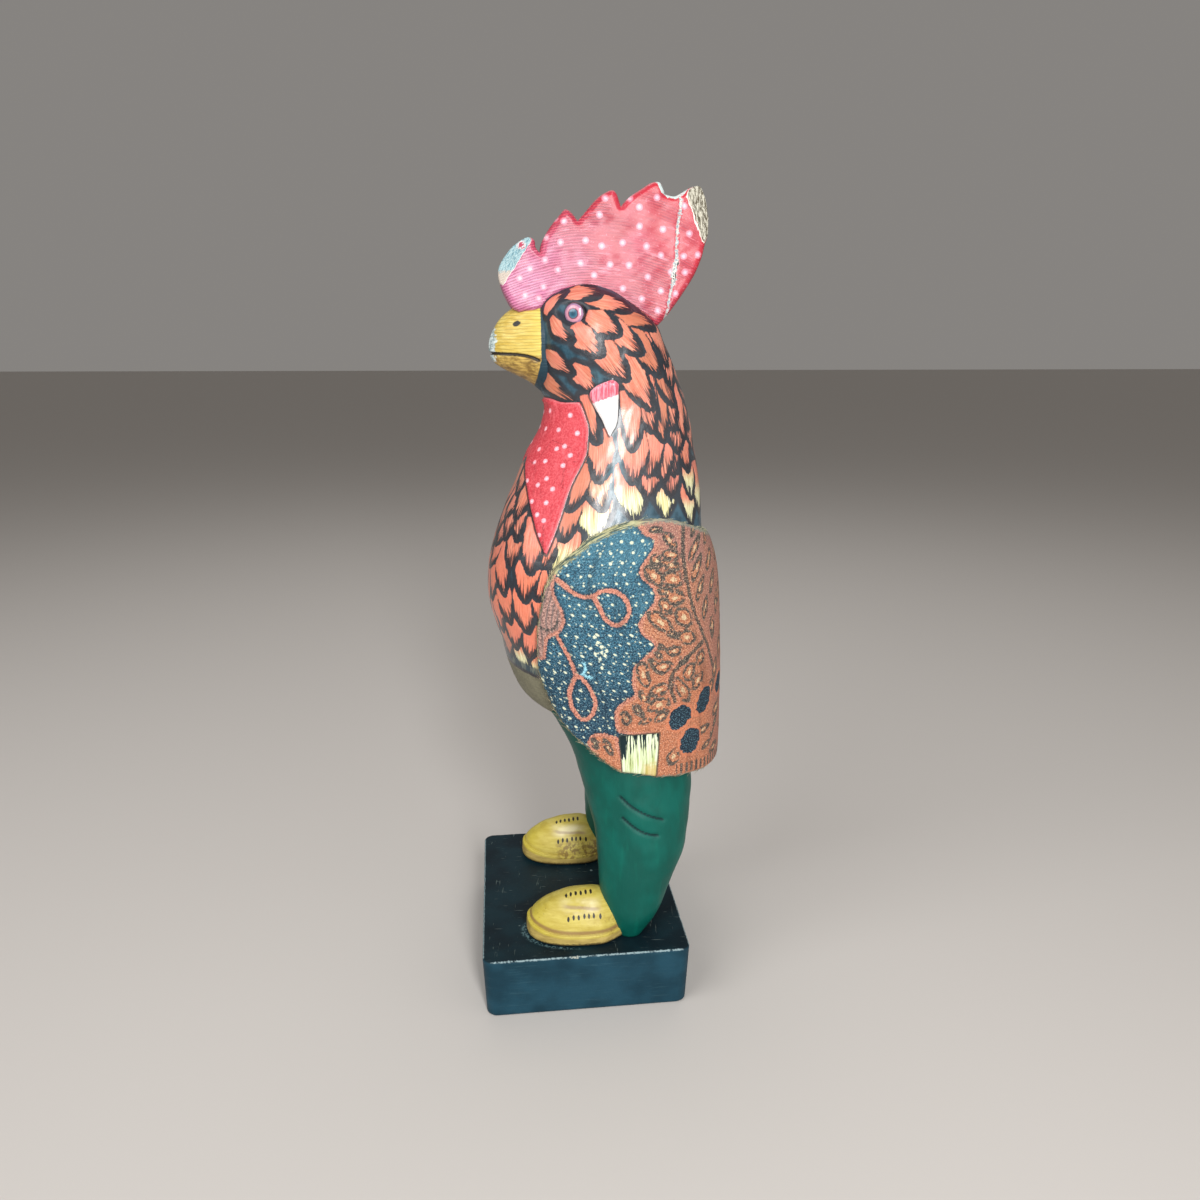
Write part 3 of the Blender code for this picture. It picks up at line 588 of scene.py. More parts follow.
# %% comb mesh
COMB_OUTLINE = [
    (-22, 292), (-24.8, 293.9), (-28.3, 300.5), (-29.7, 306.6), (-28.4, 311.2), (-24.2, 316.6),
    (-20.1, 319.3), (-17.7, 320), (-15.3, 319), (-14.9, 316.3), (-13.3, 314.4), (-12.1, 319),
    (-8.7, 324.3), (-5.4, 328.1), (-3, 330.5), (-0.6, 329.3), (1.8, 326.4), (4.3, 329),
    (8.3, 333.5), (11.6, 336.2), (15.2, 337.8), (17.2, 336.7), (18.9, 331.9), (22.2, 335.3),
    (27, 338.4), (31.1, 340.8), (34.3, 341.1), (35.6, 339.2), (36.5, 336.7), (40.2, 336),
    (43.4, 337.5), (46.3, 339.1), (50.8, 340.3), (52.5, 338), (53.9, 333.6), (54.3, 328.3),
    (53.9, 322.1), (52.7, 318.3), (51.2, 312.8), (48.4, 306.5), (44.3, 300.2), (40.2, 294.6),
    (37, 290.5), (33, 286.5), (26, 291), (18.5, 296), (10, 299.3), (2, 300.3), (-4, 299.5),
    (-9, 296.8), (-13.8, 292.8),
]
COMB_CORNERS = (0, 10, 16, 22, 28, 43)
COMB_HALF = [(286, 9.9), (292, 9.6), (316, 7.35), (341.1, 4.8)]
COMB_ROUNDING = 2.3
CRACK = [(41.9, 338.5), (42.4, 332.5), (41.4, 325), (40.8, 317.7), (40.8, 312), (39.7, 307),
         (39.6, 303.9), (38.3, 298.9), (36.6, 290)]
FRONT_CHIP = ((3.6, -24.3, 312.1), (0.52, -0.68, 0.52))
REAR_CHIP = ((5.2, 50.2, 327), (0.80, 0.54, 0.27))
COMB_STEP = 0.62
RIM_STEPS = 8

outline = flowing(COMB_OUTLINE, COMB_STEP, corners=COMB_CORNERS)
low, high = outline.min(axis=0), outline.max(axis=0)
columns = np.arange(low[0], high[0], COMB_STEP)
rows = np.arange(low[1], high[1], COMB_STEP * 0.87)
net = np.array([(y + (j % 2) * COMB_STEP / 2, z) for j, z in enumerate(rows) for y in columns])
net = net[inside(net, outline) > COMB_STEP * 0.55]
plan = [Vector(p) for p in np.concatenate([outline, net])]
loop = [(i, (i + 1) % len(outline)) for i in range(len(outline))]
plan_points, _, plan_faces, *_ = delaunay_2d_cdt(plan, loop, [], 1, 1e-6)
plan_points = np.array([tuple(p) for p in plan_points])
plan_faces = [tuple(face) for face in plan_faces]
edge_distance = np.maximum(inside(plan_points, outline), 0)
crack = to_line(plan_points, flowing(CRACK, 1.0, closed=False))
print("comb plan:", len(plan_points), "points")


# %% the faces of the comb
def comb_side(side):
    """One face of the comb: how far it stands from the middle plane at each plan point."""
    y, z = plan_points.T
    inner = np.minimum(edge_distance, COMB_ROUNDING)
    fall = COMB_ROUNDING - np.sqrt(np.maximum(COMB_ROUNDING**2 - (COMB_ROUNDING - inner) ** 2, 0))
    x = np.interp(z, *np.array(COMB_HALF).T) - fall
    x += 0.16 * waves(np.stack([y * 0, y, z * 2.2], axis=-1), 17, seed=11 + side)
    x -= 1.0 * (1 - soft_step(0.0, 0.55, crack + 0.15 * waves(np.stack([y, z, y * 0], -1), 5, seed=4)))
    broken = np.full(len(x), 9.0)
    if side > 0:
        for (px, py, pz), (nx, ny, nz) in (FRONT_CHIP, REAR_CHIP):
            rough = 0.35 * waves(np.stack([y * 2, z * 0.6, y * 0], -1), 4, 4, seed=21)
            face = px - (ny * (y - py) + nz * (z - pz)) / nx + rough
            broken = np.minimum(broken, face - x)
            x = np.minimum(x, face)
    return np.maximum(x, -3.0), broken


left_x, left_broken = comb_side(1)
right_x, _ = comb_side(-1)
count = len(plan_points)
points = np.concatenate([np.column_stack([left_x, plan_points]), np.column_stack([-right_x, plan_points])])
faces = plan_faces + [tuple(i + count for i in face[::-1]) for face in plan_faces]
if np.cross(*(plan_points[list(plan_faces[0])[1:]] - plan_points[plan_faces[0][0]])) < 0:
    faces = [face[::-1] for face in faces]
rim = rim_edges(faces[:len(plan_faces)])
between = {}
for i in sorted({i for edge in rim for i in edge}):
    a, b = points[i], points[i + count]
    between[i] = [i] + [len(points) + k for k in range(RIM_STEPS - 1)] + [i + count]
    steps = np.linspace(0, 1, RIM_STEPS + 1)[1:-1, None]
    points = np.concatenate([points, a + (b - a) * steps])
for a, b in rim:
    for k in range(RIM_STEPS):
        faces.append((between[b][k], between[a][k], between[a][k + 1], between[b][k + 1]))


def over_comb(values, rim_value=None):
    """A field of the plan points, carried to both faces and to the rim between them."""
    spread = np.zeros(len(points))
    spread[:count], spread[count:2 * count] = values, values
    for i, line in between.items():
        spread[line[1:-1]] = values[i] if rim_value is None else rim_value
    return spread


# %% comb dots and chipped paint
# The polka dots of the comb, as side points, and the chipped paint along its top.
COMB_DOTS = [
    (10.2, 328.4), (-3.8, 325.8), (-7.2, 327.0), (-10.9, 319.9), (-5.2, 318.1), (4.6, 318.9),
    (10.9, 316.9), (19.2, 318.2), (28.7, 317.1), (25.9, 331.5), (32.9, 335.1), (22.2, 334.7),
    (12.5, 334.6), (26.0, 324.4), (35.3, 323.4), (34.5, 313.7), (45.9, 321.9), (43.6, 313.4),
    (49.4, 314.0), (44.2, 307.4), (38.6, 307.4), (34.5, 300.3), (40.4, 299.3), (33.2, 292.8),
    (26.8, 297.2), (29.2, 305.5), (21.7, 309.8), (14.2, 310.0), (19.2, 301.0), (7.8, 306.0),
    (2.5, 310.4), (-6.5, 307.9), (-11.4, 311.4), (-12.2, 301.4), (-14.1, 297.2), (-17.3, 308.1),
    (43.7, 332.2), (-21.4, 304.6), (-19.5, 298.2),
]
TOP_CHIP = [(33.5, 341.5), (35.1, 338), (37.6, 336), (40.4, 335.6), (42.3, 336.4), (44.7, 338.9)]
comb_dot = np.min([np.linalg.norm(plan_points - np.array(dot), axis=1) for dot in COMB_DOTS], axis=0)
chipped = to_line(plan_points, TOP_CHIP)

broken = over_comb(left_broken)
broken[count:2 * count] = 9.0
comb = make("comb", points, faces, {
    "crack": over_comb(crack), "broken": broken, "dot": over_comb(comb_dot, 9.0),
    "chipped": over_comb(chipped), "rim": over_comb(edge_distance)}, smooth_angle=50)
print("comb:", len(points), "points")

# %% [markdown]
# ## The beak
#
# The beak is one wedge, round at the front, with the mouth cut as a groove along each side. Paint
# has worn from its tip, where the figure is touched most.

# %% beak mesh
BEAK_FRONT = [
    (261.5, -14), (264.5, -17.4), (266.5, -20.8), (268.3, -24.6), (270.3, -28.7), (272.6, -32.2),
    (275.4, -33.9), (278, -34.3), (281, -34.1), (284.8, -32.7), (288.3, -30.6), (291.2, -27.9),
    (293.7, -24.6), (296.5, -19),
]
BEAK_WIDTH = [
    (261.5, 5), (264.5, 8.6), (268, 11), (272, 12.4), (278, 13), (284, 12.8), (289, 11.6),
    (293.7, 9.2), (296.5, 5),
]
BEAK_ROOT = -6.0
MOUTH = [(-36, 276.3), (-32.5, 276.2), (-28, 276), (-22, 275.6), (-18, 274.8), (-14.6, 273.4)]

z = np.linspace(261.5, 296.5, 110)[:, None]
angle = np.linspace(0, math.pi, 110)[None, :]
front, width = smooth(BEAK_FRONT, z), smooth(BEAK_WIDTH, z)
beak_y = BEAK_ROOT + (front - BEAK_ROOT) * np.sin(angle)
rings = np.stack(np.broadcast_arrays(-width * np.cos(angle), beak_y, z), axis=-1)
flat = rings.reshape(-1, 3)
mouth = to_line(flat[:, 1:], flowing(MOUTH, 1.0, closed=False))
groove = 1.0 * (1 - soft_step(0.1, 0.95, mouth))
push = -groove + 0.13 * waves(flat, 9, seed=8)
middle = np.array([0, -12.0, 278])
outward = (flat - middle) * np.array([1, 1, 0.35])
outward /= np.linalg.norm(outward, axis=1)[:, None]
points, faces = closed_rings((flat + outward * push[:, None]).reshape(rings.shape))
faces = [face[::-1] for face in faces]
nostril = np.hypot((flat[:, 1] + 23.1) / 1.7, (flat[:, 2] - 287.6 - 0.2 * (flat[:, 1] + 23.1)) / 1.1)
beak = make("beak", points, faces, {"mouth": pad(mouth), "nostril": pad(nostril)})
print("beak:", len(points), "points")

# %% [markdown]
# ## The jacket and its cloth
#
# The carved jacket stands about two and a half millimetres proud of the chest and falls straight
# behind. Cotton batik is glued all over it, so the cloth has exactly the carved shape, and only
# its cut edges are free. The skin is a grid of triangles, cut along the jacket's side outline; its
# rim is rounded by letting the skin sink near the edge, and is then turned in.

# %% jacket mesh
JACKET_BACK = [
    (98, 64.4), (121, 64.6), (150, 64.1), (170, 63.3), (182, 62.4), (190, 61.4), (197, 59.6),
    (203, 57.3), (209, 54.8), (214, 52.6),
]
JACKET_WIDTH = [
    (98, 43), (120, 43.6), (135, 44.2), (150, 44.8), (165, 45), (180, 44.4), (190, 43),
    (198, 40.9), (204, 38.6), (210, 36), (214, 34.2),
]
JACKET_PROUD = 2.6
JACKET_CHEST_LEVEL = 140
JACKET_ROUNDNESS = 2.35
JACKET_TOP = [
    (-13.1, 193.3), (-9.3, 197.3), (-3.4, 201.6), (2.4, 206), (8.3, 208.8), (14.1, 210.9),
    (20, 212.2), (28, 212.8), (36.2, 212), (45, 209), (52, 205.8), (60, 201.5), (75, 199),
]
JACKET_HEM = [
    (75, 101.5), (56, 102), (46.3, 103), (38.6, 103.5), (30.6, 104.5), (25, 105.7), (18.6, 107),
    (15.5, 107.5),
]
JACKET_FRONT = [
    (9.9, 111.3), (3.6, 116.7), (-3.3, 122.9), (-9.4, 129.8), (-13.9, 137.4), (-17.2, 145.6),
    (-18.9, 152.1), (-19.3, 161.6), (-18.9, 170.9), (-17.3, 180.1), (-15.3, 187.7),
]
SLEEVE_END = [(14.1, 125), (31.1, 125), (29.9, 98), (16.5, 98)]
SLEEVE_RECESS = 0.8
EDGE_TURNED_IN = (0.7, 2.4)


def jacket_skin(z, angle, lift=0.0):
    front = smooth(TRUNK_FRONT, np.maximum(z, JACKET_CHEST_LEVEL)) - JACKET_PROUD
    back, width = smooth(JACKET_BACK, z), smooth(JACKET_WIDTH, z)
    axis_y = (front + back) / 2
    r = reach(angle, axis_y, front, back, width, JACKET_ROUNDNESS) + lift
    return np.stack(np.broadcast_arrays(r * np.sin(angle), axis_y - r * np.cos(angle), z), axis=-1)


# %% jacket skin, cut to its outline
JACKET_COLUMNS = 300
jacket_outline = flowing(JACKET_TOP + JACKET_HEM + JACKET_FRONT, 1.0, corners=(0, 12, 13, 20))
z = np.arange(100.2, 214.0, 0.8)
angle = np.arange(JACKET_COLUMNS) * TURN / JACKET_COLUMNS
grid = np.stack(np.broadcast_arrays(z[:, None], angle[None, :]), axis=-1).reshape(-1, 2)
grid_points = jacket_skin(grid[:, 0], grid[:, 1])
quads = ring_faces(len(z), JACKET_COLUMNS)
field = inside(grid_points[:, 1:], jacket_outline)
rows = grid_points.reshape(len(z), JACKET_COLUMNS, 3)
runs = np.linalg.norm(np.roll(rows, -1, axis=1) - rows, axis=2)
around = np.concatenate([np.zeros((len(z), 1)), np.cumsum(runs, axis=1)[:, :-1]], axis=1)
girth = runs.sum(axis=1)[:, None]
around = np.where(around > girth / 2, around - girth, around)
quads = quads[field[quads].max(axis=1) > 0]
triangles = np.concatenate([quads[:, [0, 1, 2]], quads[:, [0, 2, 3]]]).tolist()
points, faces = clip(np.column_stack([grid_points, around.ravel()]), triangles, field)
around = points[:, 3]
points = points[:, :3]
edge = inside(points[:, 1:], jacket_outline)


def jacket_axis(z):
    front = smooth(TRUNK_FRONT, np.maximum(z, JACKET_CHEST_LEVEL)) - JACKET_PROUD
    return (front + smooth(JACKET_BACK, z)) / 2


def from_axis(points):
    """Level unit vectors away from the jacket's middle line."""
    away = points - np.column_stack([points[:, 0] * 0, jacket_axis(points[:, 2]), points[:, 2]])
    return away / np.linalg.norm(away, axis=1)[:, None]


print("jacket skin:", len(points), "points")

# %% sunk edges and sleeve ends
sleeve = inside(points[:, 1:], SLEEVE_END)
sink = 1.1 * (1 - np.sqrt(np.maximum(1 - (1 - np.clip(edge / 1.5, 0, 1)) ** 2, 0)))
sink += SLEEVE_RECESS * soft_step(-0.1, 0.6, sleeve)
sink -= 0.16 * waves(points, 16, seed=5)
away = from_axis(points)
points = points - away * sink[:, None]
rim = rim_edges(faces)
rim_points = sorted({i for pair in rim for i in pair})
inner = {i: [i] for i in rim_points}
new_points, new_edge = [], []
for turn_in in EDGE_TURNED_IN:
    for i in rim_points:
        inner[i].append(len(points) + len(new_points))
        new_points.append(points[i] - away[i] * turn_in)
        new_edge.append(-turn_in)
for a, b in rim:
    for k in range(2):
        faces.append((inner[b][k], inner[a][k], inner[a][k + 1], inner[b][k + 1]))
points = np.concatenate([points, new_points])
edge = np.concatenate([edge, new_edge])
jacket_points, jacket_edge, jacket_faces, jacket_rim = points, edge, faces, rim
jacket_sleeve = np.concatenate([sleeve, np.full(len(new_points), -9.0)])
jacket_around = np.concatenate([around, around[rim_points], around[rim_points]])
print("jacket:", len(points), "points,", len(faces), "faces")

# %% [markdown]
# ### The batik's drawing
#
# Batik is drawn on the cloth with hot wax before each bath of dye: first the pale dots and
# outlines, then rust, then blue. The motifs here are the traditional ones of the photographed
# cloth: a thin vine with a loop and a hanging pod, a long striped pod at the front edge, and a
# large rust leaf with a dark rib and ringed oval cells. Each is a line or an outline on the cloth
# laid flat: millimetres round from the front and height.

# %% batik fields
VINES = [
    [(54.0, 190.9), (57.3, 188.9), (61.2, 186.2), (65.3, 184.5), (69.7, 184.5)],
    [(69.7, 184.5), (71.6, 186.0), (74.6, 186.7), (78.6, 186.0), (81.8, 183.8), (83.9, 180.9),
     (84.3, 177.2), (82.3, 174.1), (79.3, 172.7), (76.8, 173.6), (74.5, 176.1), (73.0, 179.2),
     (71.3, 182.1), (69.7, 184.5)],
    [(54.3, 168.7), (55.3, 165.3), (56.4, 160.8), (56.9, 156.9), (57.4, 152.8), (57.6, 151.5)],
    [(57.6, 151.5), (54.8, 147.3), (52.3, 142.8), (51.7, 138.9), (53.0, 135.7), (54.8, 133.1),
     (57.0, 132.2), (59.6, 133.7), (61.3, 136.8), (62.0, 141.0), (62.0, 145.0), (60.9, 148.2),
     (59.3, 150.9), (57.6, 151.5)],
]
POD = [
    (53.0, 193.1), (53.3, 189.2), (54.3, 185.5), (56.1, 182.2), (57.8, 179.4), (58.8, 176.2),
    (58.5, 173.0), (56.6, 170.3), (54.4, 168.7), (51.5, 167.4), (49.6, 165.4), (47.9, 161.6),
    (45.7, 157.6), (41.5, 158.2), (38.5, 166.5), (40.2, 176.0), (43.9, 184.2), (47.7, 190.1),
    (50.7, 194.6),
]
POD_HEART = [(50.6, 184.5), (48.2, 178.5), (47.6, 173.0), (49.8, 170.4), (54.0, 171.2), (56.0, 174.4)]
LEAF = [
    (75.6, 210.9), (79.9, 207.9), (83.5, 206.1), (86.4, 204.9), (87.9, 202.3), (87.0, 199.3),
    (86.0, 196.3), (85.7, 193.5), (87.9, 190.5), (91.5, 187.9), (94.2, 185.0), (94.9, 182.3),
    (93.4, 179.7), (91.0, 177.1), (88.7, 174.1), (87.8, 170.8), (89.0, 167.6), (91.4, 165.8),
    (92.5, 163.3), (91.2, 161.5), (87.7, 159.5), (83.8, 156.7), (81.4, 154.7), (80.2, 151.3),
    (79.2, 146.7), (78.8, 143.0), (74.3, 140.6), (71.3, 138.5), (69.6, 135.9), (69.5, 131.7),
    (70.1, 126.7), (78, 124.5), (84, 124.5), (84, 118), (84, 96), (190, 96), (190, 216), (76, 216),
]
FLAP = [
    (58.5, 122.8), (59.6, 125.3), (62.6, 126.3), (67.0, 125.7), (70.3, 124.1), (71.0, 119.9),
    (73.4, 112.1), (71.9, 106), (63, 106), (60.5, 116.1), (57.9, 121.6),
]
RIBS = [
    [(98.2, 209.9), (102.5, 200.3), (106.2, 192.9), (109.2, 186.7), (111.7, 180.3), (114.1, 173.7),
     (116.6, 166.4), (119, 158), (121, 149)],
    [(115.9, 161.2), (108.5, 157.9), (102.2, 154.3), (97.3, 150.4), (95.5, 146.4), (94.6, 141.7),
     (95.4, 138.2)],
]
print("leaf ribs:", len(RIBS))

# %% ovals, cells and wax dots
# Ringed ovals: centre round and height, the run from centre to one end, and half width.
OVALS = [
    (91.7, 197.1, 3.1, -1.7, 1.4), (97.6, 198.9, 4.6, -1.2, 1.3), (98.8, 195.0, 4.9, -1.7, 1.5),
    (92.6, 191.4, 4.7, -3.2, 1.9), (101.6, 189.4, 4.9, -1.5, 2.2), (103.9, 181.9, 4.3, -0.9, 2.3),
    (99.7, 179.1, 2.5, -3.0, 1.8), (108.2, 173.4, 3.2, -3.0, 3.0), (97.2, 172.8, 4.8, -4.2, 2.4),
    (107.9, 165.0, 3.8, -1.1, 2.6), (100.2, 160.2, 3.3, 0.1, 1.6), (93.7, 153.9, 3.9, 0.7, 2.1),
    (84.8, 151.4, -0.2, -5.2, 2.1), (89.5, 144.1, 4.3, 1.6, 1.9), (82.2, 141.4, 0.5, -2.9, 1.6),
    (88.0, 137.5, 4.6, 0.7, 2.6), (79.1, 135.8, 2.0, -2.7, 1.3), (74.0, 132.7, 1.5, -3.0, 1.6),
    (89.1, 132.3, 3.2, 1.7, 1.3), (81.8, 130.8, 2.8, 0.7, 0.9), (99.9, 142.6, 1.8, -5.5, 2.3),
    (105.3, 149.9, 2.3, 3.4, 2.1), (109.0, 145.2, 3.4, 3.3, 1.7), (112.8, 154.8, 2.1, 2.8, 1.8),
    (95.1, 162.9, 1.4, -0.2, 1.2), (93.0, 159.2, 1.2, -0.7, 1.2), (89.6, 156.4, 0.7, -1.9, 1.2),
    (101.5, 167.0, 2.2, -1.6, 1.2), (103.6, 155.4, 2.6, 0.9, 1.2), (91.2, 183.6, 1.9, -2.0, 1.2),
    (99.6, 184.6, 3.6, -1.0, 1.3), (118.4, 117.6, 1.4, 2.6, 1.0), (121.6, 122.0, 1.6, 2.4, 1.0),
    (109.8, 199.9, 1.8, 4.4, 1.9), (113.6, 192.2, 1.6, 4.6, 1.7), (117.1, 184.0, 1.7, 5.0, 1.4),
    (118.8, 203.7, 1.6, 3.6, 1.4), (106.2, 206.7, 0.6, 2.4, 1.2), (93.9, 204.3, 4.4, -2.8, 1.2),
    (85.4, 208.7, 2.6, -0.5, 1.0), (120.8, 175.3, 1.5, 4.6, 1.4), (110.6, 121.5, 4.8, 1.0, 1.5),
    (94.4, 113.1, 1.6, 3.4, 2.2), (61.0, 121.6, 0.8, -2.5, 1.0), (66.3, 120.1, 1.6, -3.7, 1.2),
    (122.5, 194.5, 1.4, 4.4, 1.5), (126.5, 185.0, 1.2, 4.6, 1.4), (125.0, 166.0, 1.2, 4.6, 1.5),
    (131.5, 175.5, 1.0, 4.6, 1.5), (132.5, 196.0, 1.0, 4.4, 1.5), (116.0, 139.0, 3.2, 3.6, 1.7),
    (123.0, 147.0, 2.4, 4.0, 1.7), (130.5, 155.0, 1.6, 4.4, 1.6),
    (121.0, 110.0, 4.2, 1.0, 1.5), (131.0, 119.0, 3.8, 1.4, 1.7), (123.0, 128.0, 4.2, 2.2, 1.9),
    (132.5, 136.5, 3.4, 2.6, 1.8), (113.5, 113.5, 3.0, 0.8, 1.1), (132.0, 106.0, 3.4, 0.8, 1.3),
]
OVALS += [(u + 4.0 * (i % 2), v, 1.2, 4.2, 1.5)
          for i, v in enumerate(np.arange(104, 206, 9.4)) for u in (136, 144.5)]
CELLS = [(111.0, 135.2, 3.4, 5.2, 3.3), (97.6, 130.4, 4.8, 3.2, 4.0), (103.0, 118.4, 2.2, 5.0, 4.4),
         (126.5, 139.0, 4.6, 3.0, 3.2)]
WAX_STAR = [(69.5, 168.0), (71.3, 164.0), (72.6, 162.2), (70.4, 161.6), (71.5, 160.1), (67.9, 161.1),
            (68.9, 158.8), (68.7, 155.2), (70.2, 165.8), (66.6, 163.4)]
SCUFF = [(62.0, 157.1), (62.1, 155.2), (61.2, 152.9), (59.8, 151.8), (63.7, 151.0)]
print("ovals:", len(OVALS), "cells:", len(CELLS))


# %% distances of the drawing
def oval_field(points, ovals):
    """Distance to the nearest oval's edge, positive inside, and the share from edge to middle."""
    field, depth = np.full(len(points), -9.0), np.zeros(len(points))
    for u, v, run_u, run_v, half in ovals:
        length, half = math.hypot(run_u, run_v) * 1.06, half * 1.2
        along = np.array([run_u, run_v]) / math.hypot(run_u, run_v)
        local = points - np.array([u, v])
        a, b = local @ along, local @ np.array([-along[1], along[0]])
        share = np.sqrt((a / length) ** 2 + (b / half) ** 2)
        d = (1 - share) * (half + (length - half) * np.clip(np.abs(a) / length, 0, 1) ** 2)
        inner = d > field
        field = np.where(inner, d, field)
        depth = np.where(inner, 1 - share, depth)
    return field, depth


u = np.abs(jacket_around)
drawn = np.column_stack([u, jacket_points[:, 2]])
drawn[jacket_around < 0] += np.array([4.0, -5.5])
leaf = np.maximum(inside(drawn, flowing(LEAF, 1.0, corners=(0, 30, 31, 32, 33, 34, 35, 36, 37))),
                  inside(drawn, flowing(FLAP, 1.0, corners=(6, 7, 8))))
vine = 0.8 - np.min([to_line(drawn, flowing(path, 1.0, closed=False)) for path in VINES], axis=0)
pod_line = flowing(POD, 1.0, corners=(0,))
pod = inside(drawn, pod_line)
pod_heart = to_line(drawn, flowing(POD_HEART, 1.0, closed=False))
rib = np.min([to_line(drawn, flowing(path, 1.0, closed=False)) for path in RIBS], axis=0)
oval, oval_depth = oval_field(drawn, OVALS)
cell, _ = oval_field(drawn, CELLS)
star = np.min([np.linalg.norm(drawn - np.array(dot), axis=1) for dot in WAX_STAR], axis=0)
scuff = to_line(drawn, SCUFF)
jacket = make("batik_jacket", jacket_points, jacket_faces, {
    "edge": jacket_edge, "sleeve": jacket_sleeve, "leaf": leaf, "vine": vine, "pod": pod,
    "heart": pod_heart, "rib": rib, "oval": oval, "oval_depth": oval_depth, "cell": cell,
    "star": star, "scuff": scuff,
    "cloth": np.column_stack([jacket_around, jacket_points[:, 2], jacket_points[:, 2] * 0])})
print("batik:", len(OVALS), "ringed ovals,", len(VINES), "vine lines")

# %% [markdown]
# ### Under the hem
#
# The jacket is solid below: a flat underside runs between its two sides, round the tops of the
# legs. It is painted dark and hardly seen.

# %% underside of the jacket
under_points, under_faces = [], []
for a, b in rim:
    pair = jacket_points[[inner[a][1], inner[b][1]]]
    if pair[:, 2].max() < 126 and pair[:, 0].min() > 0.02:
        mirrored = pair * np.array([-1, 1, 1])
        start = len(under_points)
        under_points += [pair[0], pair[1], mirrored[1], mirrored[0]]
        under_faces.append((start, start + 1, start + 2, start + 3))
underside = make("jacket_underside", under_points, under_faces)
print("underside:", len(under_faces), "faces")

# %% [markdown]
# ## Trousers
#
# Two carved legs that part below the belly. Two folds are cut behind each knee. Both legs are
# ring skins, joined into one.

# %% trouser mesh
LEG_FRONT = [
    (28.3, 13.5), (34, 10.5), (41, 8.4), (48, 7.4), (59, 6.8), (68, 6.2), (77, 5.2), (84, 3.4),
    (90, 2), (98, -0.3), (108, -3), (115, -5.8), (124, -10.6), (130, -14.5),
]
LEG_BACK = [
    (28.3, 26.5), (36, 32.6), (44, 36.2), (51, 38.8), (59, 42.3), (66, 45), (76, 46.9),
    (86, 48.3), (92, 49), (100, 49), (124, 44), (130, 42),
]
LEG_INNER = [
    (28.3, 22), (36, 20.6), (46, 19.2), (58, 16.8), (70, 13), (80, 8.8), (88, 4.6), (94, 0.8),
    (100, -3), (124, -6),
]
LEG_OUTER = [(28.3, 42.5), (36, 44), (48, 44.3), (60, 44), (75, 43), (90, 41.6), (124, 38)]
LEG_ROUNDNESS = 2.3
TROUSER_FOLDS = [
    [(15.0, 95.4), (19.5, 91.2), (24, 88.2), (29, 85.8), (33.6, 84.2)],
    [(16.0, 85.8), (20, 82.2), (24, 79.5), (28, 77.9), (31.6, 77.2)],
]
z = np.arange(28.2, 130.01, 0.9)[:, None]
angle = (np.arange(150) + 0.5)[None, :] * TURN / 150
leg_skins, leg_fold = [], []
for side in (1, -1):
    front, back = smooth(LEG_FRONT, z), smooth(LEG_BACK, z)
    inner_x, outer_x = smooth(LEG_INNER, z), smooth(LEG_OUTER, z)
    across, along = np.sin(angle), -np.cos(angle)
    squarish = 2 / LEG_ROUNDNESS
    x = side * (inner_x + outer_x) / 2 \
        + (outer_x - inner_x) / 2 * np.sign(across) * np.abs(across) ** squarish
    y = (front + back) / 2 + (back - front) / 2 * np.sign(along) * np.abs(along) ** squarish
    rings = np.stack(np.broadcast_arrays(x, y, z), axis=-1)
    flat = rings.reshape(-1, 3)
    fold = np.minimum(*[to_line(flat[:, 1:], flowing(path, 1.0, closed=False)) for path in TROUSER_FOLDS])
    outer = soft_step(0, 8, side * (flat[:, 0] - side * 30))
    push = -0.9 * (1 - soft_step(0.1, 1.1, fold)) * outer + 0.17 * waves(flat, 14, seed=9)
    away = np.stack(np.broadcast_arrays(across, along, z * 0), axis=-1).reshape(-1, 3)
    leg_skins.append(closed_rings((flat + away * push[:, None]).reshape(rings.shape)))
    leg_fold.append(pad(np.where(outer > 0.2, fold, 9)))
trousers = make("trousers", *joined(leg_skins), {"fold": np.concatenate(leg_fold)})
print("trousers:", len(trousers.data.vertices), "points")

# %% [markdown]
# ## Shoes
#
# Each shoe has a thick sole with a lifted toe, a narrow welt step and a domed upper with rows of
# little lace marks. It is a set of ovals that shrink towards the ridge.

# %% shoe mesh
SHOE_X, SHOE_Y = 32.4, 1.0
SHOE_HALF_WIDTH, SHOE_HALF_LENGTH = 14.4, 26.4
SHOE_ROUNDNESS = 2.35
SOLE, WELT_SIDE, WELT_TOE, RIDGE = 28.3, 32.8, 36.2, 48.4
WELT_SHARE, WELT_LEDGE = 0.985, 0.048
SOLE_EDGE, TOE_SPRING, DOME_POWER = 1.2, 2.2, 1.6
LACES = [(x, y) for x in (2.9, 10.6, -10.6) for y in np.linspace(-8.0, 3.0, 6) + (abs(x) > 5) * 0.6]
LACES += [(x, 6.4) for x in (10.6, -10.6)]
angle = (np.arange(300) + 0.5) * TURN / 300
across, along = np.sin(angle), -np.cos(angle)
plan_x = np.sign(across) * np.abs(across) ** (2 / SHOE_ROUNDNESS)
plan_y = np.sign(along) * np.abs(along) ** (2 / SHOE_ROUNDNESS)
toe = np.maximum(-plan_y, 0) ** 3
welt = WELT_SIDE + (WELT_TOE - WELT_SIDE) * toe
edge_z = SOLE + SOLE_EDGE + TOE_SPRING * toe
steps = [(share, SOLE + toe * 0, -1.0) for share in (0.03, *np.linspace(0.1, 0.91, 6))]
for t in np.linspace(0, 1, 6):
    bend = math.sin(t * math.pi / 2)
    steps.append((0.93 + 0.07 * bend, SOLE + (edge_z - SOLE) * (1 - math.cos(t * math.pi / 2)), -1.0))
